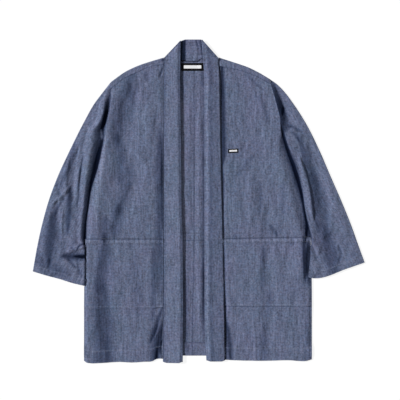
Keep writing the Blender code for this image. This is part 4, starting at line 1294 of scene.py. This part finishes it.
def beside_band(name, low, high, count):
    """A line of stitching on a front, beside the neckband."""
    return front_edge(np.linspace(low, high, count), name) + (SIDES[name].sign * BAND_STITCH, 0.0)


def front_runs(name):
    """Stitch lines of an upper front: beside the neckband and above the waist."""
    side, height = SIDES[name], partial(front_z, name=name)
    band = beside_band(name, side.waist[0][1] + 3, side.forward[0][1] - 4, 30)
    waist = curve(side.waist, np.linspace(0.01, 0.98, 12)) + (0.0, 2.4)
    return [(band, height, 1), (waist, height, 1)]


def lower_runs(name):
    """Stitch lines of a lower front: its hem, and beside the neckband."""
    side, height = SIDES[name], partial(front_z, name=name)
    hem = curve(side.hem, np.linspace(0.005, 0.995, 14)) + (0.0, FRONT_HEM - 1.5)
    return [(hem, height, 1), (beside_band(name, side.hem[0][1] + 2, side.pocket_y - 3, 12), height, 1)]


def pocket_runs(name):
    """Stitch lines of a pocket: below its mouth, above its bottom, and beside the neckband."""
    side, height = SIDES[name], partial(pocket_z, name=name)
    mouth = curve(side.waist, np.linspace(0.01, 0.99, 12)) - (0.0, MOUTH_HEM)
    start = band_x(side.pocket_y, name, "outer") + side.sign * 1.0
    xs = np.linspace(start, side.body[-1][0] - side.sign * 2.0, 3)
    bottom = np.stack([xs, np.full(3, side.pocket_y + 1.8)], axis=1)
    band = beside_band(name, side.pocket_y + 3, side.waist[0][1] - 3, 12)
    return [(line, height, 1) for line in (mouth, bottom, band)]


def sleeve_runs(name):
    """Stitch lines of a sleeve: round the cuff, above and below."""
    side = SIDES[name]
    cuff = curve(side.cuff, np.linspace(0.01, 0.985, 12))
    line = cuff + outwards(cuff, side.sign) * CUFF_HEM
    return [(line, lambda xy, i=i: sleeve_heights(xy, name)[i], up) for i, up in ((1, 1), (0, -1))]


def back_upper_runs(name):
    """Stitch line of the upper back: beside the centre seam, underneath."""
    ys = np.linspace(NECK_Y - 3, WAIST_BACK_Y + 2, 30)
    return [(centre_back(ys, SIDES[name].sign * CENTRE_STITCH), back_under, -1)]


def back_lower_runs(name):
    """Stitch lines of the lower back: its hem, inside and underneath, and beside the centre seam."""
    side = SIDES[name]
    xs = np.linspace(CENTRE_BACK_X + side.sign * 2.0 - 4.8, side.body[-1][0] - side.sign * 3, 14)
    hem = np.stack([xs, np.full(14, HEM_BACK_Y + BACK_HEM - 2.0)], axis=1)
    seam = centre_back(np.linspace(WAIST_BACK_Y - 2, HEM_BACK_Y + 3, 20), side.sign * CENTRE_STITCH)
    return [(hem, back_inside, 1), (hem, back_under, -1), (seam, back_under, -1)]


class Graph:
    """Nodes of one material, added and linked by short calls."""

    def __init__(self, name):
        self.material = bpy.data.materials.new(name)
        self.material.use_nodes = True
        self.tree = self.material.node_tree
        self.shader = self.tree.nodes["Principled BSDF"]

    def add(self, kind, *inputs, out=0, **settings):
        """A node of a kind with its settings, its inputs in order, and one of its outputs back."""
        node = self.tree.nodes.new(kind)
        for key, value in settings.items():
            setattr(node, key, value)
        for socket, value in zip(node.inputs, inputs):
            self.put(socket, value)
        return node.outputs[out]

    def put(self, socket, value):
        """Link a socket to an output, or set it to a value."""
        if isinstance(value, bpy.types.NodeSocket):
            self.tree.links.new(value, socket)
        elif value is not None:
            socket.default_value = value

    def named(self, node, values):
        """Put values or outputs into a node's sockets by their names."""
        for socket, value in values.items():
            self.put(node.inputs[socket], value)

    def math(self, operation, a, b=0.0, c=None):
        """One operation on one, two or three numbers."""
        return self.add("ShaderNodeMath", a, b, c, operation=operation)

    def vector(self, operation, a, b):
        """One operation on two vectors, or a vector scaled by a number."""
        inputs = (a, None, None, b) if operation == "SCALE" else (a, b)
        return self.add("ShaderNodeVectorMath", *inputs, operation=operation)

    def noise(self, place, seed, across, along, detail):
        """Smooth noise about 0, spread about 0.5, of the given lengths across and along the cloth in
        the place's own units, and moved by its seed."""
        counted = self.vector("MULTIPLY", place, (1.0 / across, 1.0 / along, 1.0))
        moved = self.vector("ADD", counted, (seed * 7.3, seed * 3.1, seed * 1.7))
        found = self.add("ShaderNodeTexNoise", noise_dimensions="3D")
        self.named(found.node, {"Vector": moved, "Scale": 1.0, "Detail": detail})
        return self.math("MULTIPLY", self.math("SUBTRACT", found.node.outputs[0], 0.5), 4.0)

    def grain(self):
        """The place on the flat cloth in millimetres, with its two numbers."""
        place = self.vector("SCALE", self.add("ShaderNodeUVMap", uv_map="grain"), 1.0 / MM)
        split = self.add("ShaderNodeSeparateXYZ", place).node
        return place, split.outputs[0], split.outputs[1]

    def mixed(self, share, first, second):
        """Two colours mixed: the first at a share of 0, the second at 1."""
        node = self.add("ShaderNodeMix", data_type="RGBA").node
        for socket, value in ((0, share), (6, (*first, 1.0)), (7, (*second, 1.0))):
            self.put(node.inputs[socket], value)
        return node.outputs[2]

    def relief(self, height, distance):
        """Fine relief: a height that is counted in a distance in metres."""
        found = self.add("ShaderNodeBump")
        self.named(found.node, {"Strength": 1.0, "Distance": distance, "Height": height})
        return found

    def finished(self, **sockets):
        """The material, with the shader's own sockets filled; a name's underscores are spaces."""
        self.named(self.shader, {name.replace("_", " "): value for name, value in sockets.items()})
        return self.material


# Unevenness of the cloth, a row for each kind: its lengths across and along the cloth in millimetres,
# its detail, and how much it lightens and darkens the yarn
UNEVEN = {
    "streak": (3.2, 34.0, 2.0, 0.3),
    "cross": (26.0, 2.2, 1.0, 0.1),
    "blob": (5.0, 4.8, 2.0, 0.42),
    "cloud": (40.0, 60.0, 2.0, 0.05),
    "hue": (9.0, 12.0, 2.0, 0.0),
    "tone": (5.5, 6.5, 2.0, 0.0),
    "wide": (60.0, 90.0, 1.0, 0.0),
}
# Half the weave's repeat in millimetres, and how high the weave and the thick yarn stand
THREAD = 0.42
WEAVE_HEIGHT = 0.06
YARN_HEIGHTS = {"streak": 0.16, "blob": 0.2}
# How far the hue's unevenness shifts the share of the pale yarn, and how rough and shiny the cloth is
HUE_SHIFT = 0.08
ROUGHNESS = 0.88
SHINE = 0.1
# What of its red, green and blue the cloth loses under painted shade, and loses or gains again as that
# deepens
DARK_LOSS = (1.12, 1.0, 0.76)
DEEP_LOSS = (-0.1, 0.0, 0.2)
# How the cloth's colour wanders over small places and over large ones
SMALL_TINT = (0.1, 0.0, -0.03)
WIDE_TINT = (0.06, 0.0, 0.02)
WHITE = (1.0, 1.0, 1.0)


def chambray(name, warp, weft, slub, seed):
    """Plain weave of a dark warp and a pale weft, with slubs along and across it, soft mottling, and the
    painted shade and highlights of the piece's shade attribute at seams, creases, folds and grooves;
    the weave and mottling read the piece's own grain map, in millimetres."""
    graph = Graph(name)
    place, across, along = graph.grain()
    over, under = (graph.math("MULTIPLY", way, np.pi / THREAD) for way in (across, along))
    weave = graph.math("MULTIPLY", graph.math("SINE", over), graph.math("SINE", under))
    kinds = {
        kind: graph.noise(place, seed + step, *lengths)
        for step, (kind, (*lengths, _)) in enumerate(UNEVEN.items())
    }
    light = graph.math("MULTIPLY_ADD", weave, 0.5, 0.5)
    share = graph.math("ADD", light, graph.math("MULTIPLY", kinds["hue"], HUE_SHIFT))
    total = 1.0
    for kind, (*_, strength) in UNEVEN.items():
        if strength:
            total = graph.math("ADD", graph.math("MULTIPLY", kinds[kind], strength * slub), total)
    # The painted shade, and painted highlight where negative, read from each piece's shade attribute
    dark = graph.add("ShaderNodeAttribute", out=2, attribute_name="shade")
    deeper = graph.math("MULTIPLY", dark, graph.math("ABSOLUTE", dark))
    loss = graph.vector("SCALE", DARK_LOSS, dark)
    loss = graph.vector("ADD", loss, graph.vector("SCALE", DEEP_LOSS, deeper))
    kept = graph.vector("MAXIMUM", graph.vector("SUBTRACT", WHITE, loss), (0.0, 0.0, 0.0))
    small = graph.vector("SCALE", SMALL_TINT, kinds["tone"])
    wide = graph.vector("SCALE", WIDE_TINT, kinds["wide"])
    tint = graph.vector("ADD", graph.vector("ADD", small, wide), WHITE)
    colour = graph.vector("MULTIPLY", graph.mixed(share, warp, weft), tint)
    height = graph.math("MULTIPLY", weave, WEAVE_HEIGHT)
    for kind, rise in YARN_HEIGHTS.items():
        height = graph.math("ADD", height, graph.math("MULTIPLY", kinds[kind], rise))
    return graph.finished(
        Base_Color=graph.vector("SCALE", graph.vector("MULTIPLY", colour, kept), total),
        Roughness=graph.math("ADD", graph.math("MULTIPLY", kinds["blob"], 0.03), ROUGHNESS),
        Specular_IOR_Level=SHINE,
        Normal=graph.relief(height, MM),
    )


# Label tape, in millimetres: its block's soft edge, its ribs, and its flecks across and along it
BLOCK_EDGE = 0.5
TAPE_RIB = 0.35
TAPE_FLECK = (0.9, 0.5)


def label_tape(name, tape, block, label):
    """Woven tape: fine ribs across it, and a plain pale block in its middle."""
    graph = Graph(name)
    place, across, along = graph.grain()
    inside = 1.0
    for way, size in ((across, label.block_width), (along, label.block_height)):
        edge = graph.math("SUBTRACT", size / 2, graph.math("ABSOLUTE", way))
        edge = graph.add("ShaderNodeClamp", graph.math("DIVIDE", edge, BLOCK_EDGE))
        inside = graph.math("MULTIPLY", inside, edge)
    rib = graph.math("SINE", graph.math("MULTIPLY", along, np.pi / TAPE_RIB))
    fleck = graph.noise(place, 5, *TAPE_FLECK, 1.0)
    bright = graph.math("ADD", graph.math("MULTIPLY", fleck, 0.12), 1.0)
    return graph.finished(
        Base_Color=graph.vector("SCALE", graph.mixed(inside, tape, block), bright),
        Roughness=0.8,
        Specular_IOR_Level=SHINE,
        Normal=graph.relief(graph.math("MULTIPLY", rib, 0.5), 0.1 * MM),
    )


# How fast the thread's twist turns, in radians along a metre
THREAD_TWIST = 9000.0


def sewing_thread(colour):
    """Sewing thread, a little paler than the cloth, with its twist as fine diagonal ribs."""
    graph = Graph("sewing_thread")
    split = graph.add("ShaderNodeSeparateXYZ", graph.add("ShaderNodeTexCoord", out=3)).node
    diagonal = graph.math("ADD", split.outputs[0], split.outputs[1])
    twist = graph.math("SINE", graph.math("MULTIPLY", diagonal, THREAD_TWIST))
    tone = graph.math("ADD", graph.math("MULTIPLY", twist, 0.12), 1.0)
    return graph.finished(Base_Color=graph.vector("SCALE", tuple(colour), tone), Roughness=0.7)


def plain_floor(shade, glow):
    """Near-white studio floor: a pale matt surface with an even glow and the faintest mottle."""
    graph = Graph("studio_floor")
    mottle = graph.add("ShaderNodeTexNoise").node
    graph.named(mottle, {"Vector": graph.add("ShaderNodeTexCoord", out=3), "Scale": 3.0})
    tone = graph.math("ADD", graph.math("MULTIPLY", mottle.outputs[0], 0.01), shade)
    return graph.finished(
        Base_Color=graph.vector("SCALE", WHITE, tone),
        Roughness=0.95,
        Emission_Color=(*WHITE, 1.0),
        Emission_Strength=glow,
    )


class JacketCloth(bpy.types.PropertyGroup):
    """Colours of the cloth and how uneven its yarn is."""

    warp: bpy.props.FloatVectorProperty(
        name="Warp", description="Colour of the dark yarn", subtype="COLOR", default=(0.053, 0.073, 0.155),
        min=0.0, max=1.0,
    )
    weft: bpy.props.FloatVectorProperty(
        name="Weft", description="Colour of the pale yarn", subtype="COLOR", default=(0.181, 0.206, 0.286),
        min=0.0, max=1.0,
    )
    warp_inside: bpy.props.FloatVectorProperty(
        name="Warp inside", description="Colour of the dark yarn on the wrong side", subtype="COLOR",
        default=(0.062, 0.074, 0.160), min=0.0, max=1.0,
    )
    slub: bpy.props.FloatProperty(
        name="Slub", description="Strength of the yarn's uneven thickness", default=0.85, min=0.0, max=2.0,
        subtype="FACTOR",
    )


class JacketStitches(bpy.types.PropertyGroup):
    """Sizes and colour of the stitching, in millimetres."""

    stitch_length: bpy.props.FloatProperty(
        name="Stitch length", description="Length of a stitch, in millimetres", default=2.2, min=1.0,
        max=5.0,
    )
    stitch_pitch: bpy.props.FloatProperty(
        name="Stitch pitch", description="From one stitch to the next, in millimetres", default=2.9, min=1.5,
        max=8.0,
    )
    thread_radius: bpy.props.FloatProperty(
        name="Thread radius", description="Half the thread's thickness, in millimetres", default=0.3,
        min=0.1, max=0.6,
    )
    thread: bpy.props.FloatVectorProperty(
        name="Thread", description="Colour of the sewing thread", subtype="COLOR",
        default=(0.19, 0.22, 0.31), min=0.0, max=1.0,
    )


class JacketLabels(bpy.types.PropertyGroup):
    """Colours of the woven labels."""

    tape: bpy.props.FloatVectorProperty(
        name="Tape", description="Colour of the tape", subtype="COLOR", default=(0.004, 0.004, 0.005),
        min=0.0, max=1.0,
    )
    block: bpy.props.FloatVectorProperty(
        name="Block", description="Colour of the plain block", subtype="COLOR", default=(0.8, 0.8, 0.82),
        min=0.0, max=1.0,
    )


class JacketStage(bpy.types.PropertyGroup):
    """Camera, lights and floor."""

    camera_height: bpy.props.FloatProperty(
        name="Camera height", description="Height of the camera above the floor", default=3.0, unit="LENGTH",
        min=1.0, max=10.0,
    )
    view_width: bpy.props.FloatProperty(
        name="View width", description="Width that the picture shows at the jacket", default=1.07,
        unit="LENGTH", min=0.2, max=4.0,
    )
    view_centre: bpy.props.FloatVectorProperty(
        name="View centre", description="Middle of the picture on the floor", size=2, subtype="XYZ",
        unit="LENGTH", default=(0.00294, 0.00321),
    )
    sun_strength: bpy.props.FloatProperty(
        name="Sun strength", description="Strength of the main light", default=3.9, min=0.0, max=20.0,
    )
    sun_softness: bpy.props.FloatProperty(
        name="Sun softness", description="Width of the main light, as an angle", default=np.radians(9.0),
        subtype="ANGLE", min=0.0, max=1.0,
    )
    sun_elevation: bpy.props.FloatProperty(
        name="Sun elevation", description="Height of the main light above the floor, as an angle",
        default=np.radians(35.0), subtype="ANGLE", min=0.1, max=1.5,
    )
    sun_bearing: bpy.props.FloatProperty(
        name="Sun bearing", description="Side that the main light comes from, counted from -X towards +Y",
        default=np.radians(14.0), subtype="ANGLE", min=-3.2, max=3.2,
    )
    sky_strength: bpy.props.FloatProperty(
        name="Sky strength", description="Strength of the even light from all round", default=0.33, min=0.0,
        max=5.0,
    )


def cloth_materials(context):
    """The chambray's right side and wrong side, made once."""
    cloth = context.scene.jacket_cloth
    found = {}
    for slot, warp, seed in (("chambray", cloth.warp, 1), ("chambray_inside", cloth.warp_inside, 21)):
        name = f"woven_{slot}"
        found[slot] = bpy.data.materials.get(name) or chambray(name, warp, cloth.weft, cloth.slub, seed)
    return found


# Each piece's flat cut in millimetres, of one side or of both: its width and length, and its area
# where that is less
CUTS = {
    "back_upper": ((300, 500), 121000),
    "back_lower": ((295, 345),),
    "front_upper_right": ((207, 470), 79000),
    "front_upper_left": ((240, 465), 83500),
    "front_lower": ((238, 358),),
    "pocket": ((238, 193),),
    "sleeve": ((330, 560), 105000),
    "neckband": ((102, 850),),
    "neckband_back": ((142, 118), 11000),
}


def sewn(context, part, name, make, runs, slot="chambray", rests_on=()):
    """Make one piece, stitch it, and hide the solid that it takes the place of."""
    piece = make(name, cloth_materials(context)[slot])
    node, stitches = f"{part}_{name}", []
    if runs:
        settings = context.scene.jacket_stitches
        thread = bpy.data.materials.get("sewing_thread") or sewing_thread(settings.thread)
        stitches.append(stitched(f"stitches_{node}", runs(name), settings, thread))
    carriers = [f"cloth_{under}_{name}" for under in rests_on]
    declared(piece, node, carriers, *(CUTS.get(node) or CUTS[part]), stitches=stitches)


class JACKET_OT_back(bpy.types.Operator):
    """Make the back, above and below the waist, with its turned-up hem"""

    bl_idname = "jacket.back"
    bl_label = "Back"

    def execute(self, context):
        for name in SIDES:
            sewn(context, "back_upper", name, make_back_upper, back_upper_runs, "chambray_inside")
            sewn(context, "back_lower", name, make_back_lower, back_lower_runs, "chambray_inside")
        return {"FINISHED"}


class JACKET_OT_fronts(bpy.types.Operator):
    """Make the fronts, above and below the waist"""

    bl_idname = "jacket.fronts"
    bl_label = "Fronts"

    def execute(self, context):
        for name in SIDES:
            sewn(context, "front_upper", name, make_front_upper, front_runs, rests_on=["back_upper"])
            sewn(context, "front_lower", name, make_front_lower, lower_runs, rests_on=["back_lower"])
        return {"FINISHED"}


class JACKET_OT_pockets(bpy.types.Operator):
    """Make the two patch pockets"""

    bl_idname = "jacket.pockets"
    bl_label = "Pockets"

    def execute(self, context):
        for name in SIDES:
            sewn(context, "pocket", name, make_pocket, pocket_runs, rests_on=["front_lower"])
        return {"FINISHED"}


class JACKET_OT_sleeves(bpy.types.Operator):
    """Make the sleeves, each folded along its outer edge"""

    bl_idname = "jacket.sleeves"
    bl_label = "Sleeves"

    def execute(self, context):
        under = {"right": [], "left": ["front_lower", "pocket"]}
        for name in SIDES:
            sewn(context, "sleeve", name, make_sleeve, sleeve_runs, rests_on=under[name])
        return {"FINISHED"}


class JACKET_OT_neckband(bpy.types.Operator):
    """Make the neckband: a folded strip down each front and one behind the neck"""

    bl_idname = "jacket.neckband"
    bl_label = "Neckband"

    def execute(self, context):
        for name in SIDES:
            sewn(context, "neckband", name, make_neckband, None, rests_on=["back_upper", "back_lower"])
        piece = make_neckband_back(cloth_materials(context)["chambray_inside"])
        declared(piece, "neckband_back", [], *CUTS["neckband_back"])
        return {"FINISHED"}


class JACKET_OT_labels(bpy.types.Operator):
    """Make the neck label and the small label on the chest, with nothing written on them"""

    bl_idname = "jacket.labels"
    bl_label = "Labels"

    def execute(self, context):
        settings = context.scene.jacket_labels
        places = (
            ("neck_label", NECK_LABEL, back_inside, "cloth_back_upper_right"),
            ("chest_label", CHEST_LABEL, partial(front_z, name="left"), "cloth_front_upper_left"),
        )
        for name, label, host, carrier in places:
            material = label_tape(f"woven_{name}", settings.tape, settings.block, label)
            piece = make_label(name, label, host, material)
            declared(piece, name, [carrier], (label.width, label.height))
        return {"FINISHED"}


# The floor: half its side and its height in metres, just below the jacket, its shade and its glow
FLOOR_REACH, FLOOR_Z, FLOOR_SHADE, FLOOR_GLOW = 30.0, -0.0004, 0.14, 0.85
# Width of the camera's sensor, in millimetres
SENSOR_WIDTH = 36.0


class JACKET_OT_stage(bpy.types.Operator):
    """Set the floor, the lights and the camera straight above the jacket"""

    bl_idname = "jacket.stage"
    bl_label = "Stage"

    def execute(self, context):
        scene, stage = context.scene, context.scene.jacket_stage
        data = bpy.data.meshes.new("studio_floor")
        ways = ((-1, -1), (1, -1), (1, 1), (-1, 1))
        corners = [(x * FLOOR_REACH, y * FLOOR_REACH, FLOOR_Z) for x, y in ways]
        data.from_pydata(corners, [], [(0, 1, 2, 3)])
        data.materials.append(plain_floor(FLOOR_SHADE, FLOOR_GLOW))
        floor = bpy.data.objects.new("studio_floor", data)
        scene.collection.objects.link(floor)
        light = bpy.data.lights.new("studio_key", "SUN")
        light.energy = stage.sun_strength
        light.angle = stage.sun_softness
        lamp = bpy.data.objects.new("studio_key", light)
        lamp.rotation_euler = (0.0, -(np.pi / 2 - stage.sun_elevation), -stage.sun_bearing)
        scene.collection.objects.link(lamp)
        world = bpy.data.worlds.new("studio_sky")
        world.use_nodes = True
        sky = world.node_tree.nodes["Background"]
        sky.inputs[0].default_value = (*WHITE, 1.0)
        sky.inputs[1].default_value = stage.sky_strength
        scene.world = world
        camera = bpy.data.cameras.new("studio_camera")
        camera.sensor_width = SENSOR_WIDTH
        camera.lens = SENSOR_WIDTH * stage.camera_height / stage.view_width
        eye = bpy.data.objects.new("studio_camera", camera)
        eye.location = (*stage.view_centre, stage.camera_height)
        scene.collection.objects.link(eye)
        scene.camera = eye
        scene.view_settings.view_transform = "Standard"
        return {"FINISHED"}


OPERATORS = (
    JACKET_OT_back, JACKET_OT_fronts, JACKET_OT_pockets, JACKET_OT_sleeves, JACKET_OT_neckband,
    JACKET_OT_labels, JACKET_OT_stage,
)
SETTINGS = {
    "jacket_cloth": JacketCloth, "jacket_stitches": JacketStitches, "jacket_labels": JacketLabels,
    "jacket_stage": JacketStage,
}


class JACKET_PT_panel(bpy.types.Panel):
    """Lists the jacket's pieces and their settings"""

    bl_idname = "JACKET_PT_panel"
    bl_label = "Jacket"
    bl_space_type = "VIEW_3D"
    bl_region_type = "UI"
    bl_category = "Jacket"

    def draw(self, context):
        for operator in OPERATORS:
            self.layout.operator(operator.bl_idname)
        for name, group in SETTINGS.items():
            box = self.layout.box()
            for field in group.__annotations__:
                box.prop(getattr(context.scene, name), field)


def register():
    for item in (*SETTINGS.values(), *OPERATORS, JACKET_PT_panel):
        bpy.utils.register_class(item)
    for name, group in SETTINGS.items():
        setattr(bpy.types.Scene, name, bpy.props.PointerProperty(type=group))


def unregister():
    for name in SETTINGS:
        delattr(bpy.types.Scene, name)
    for item in (JACKET_PT_panel, *reversed(OPERATORS), *reversed(SETTINGS.values())):
        bpy.utils.unregister_class(item)


def main():
    """Register everything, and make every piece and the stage."""
    register()
    for operator in OPERATORS:
        group, action = operator.bl_idname.split(".")
        getattr(getattr(bpy.ops, group), action)()


if __name__ == "__main__":
    main()
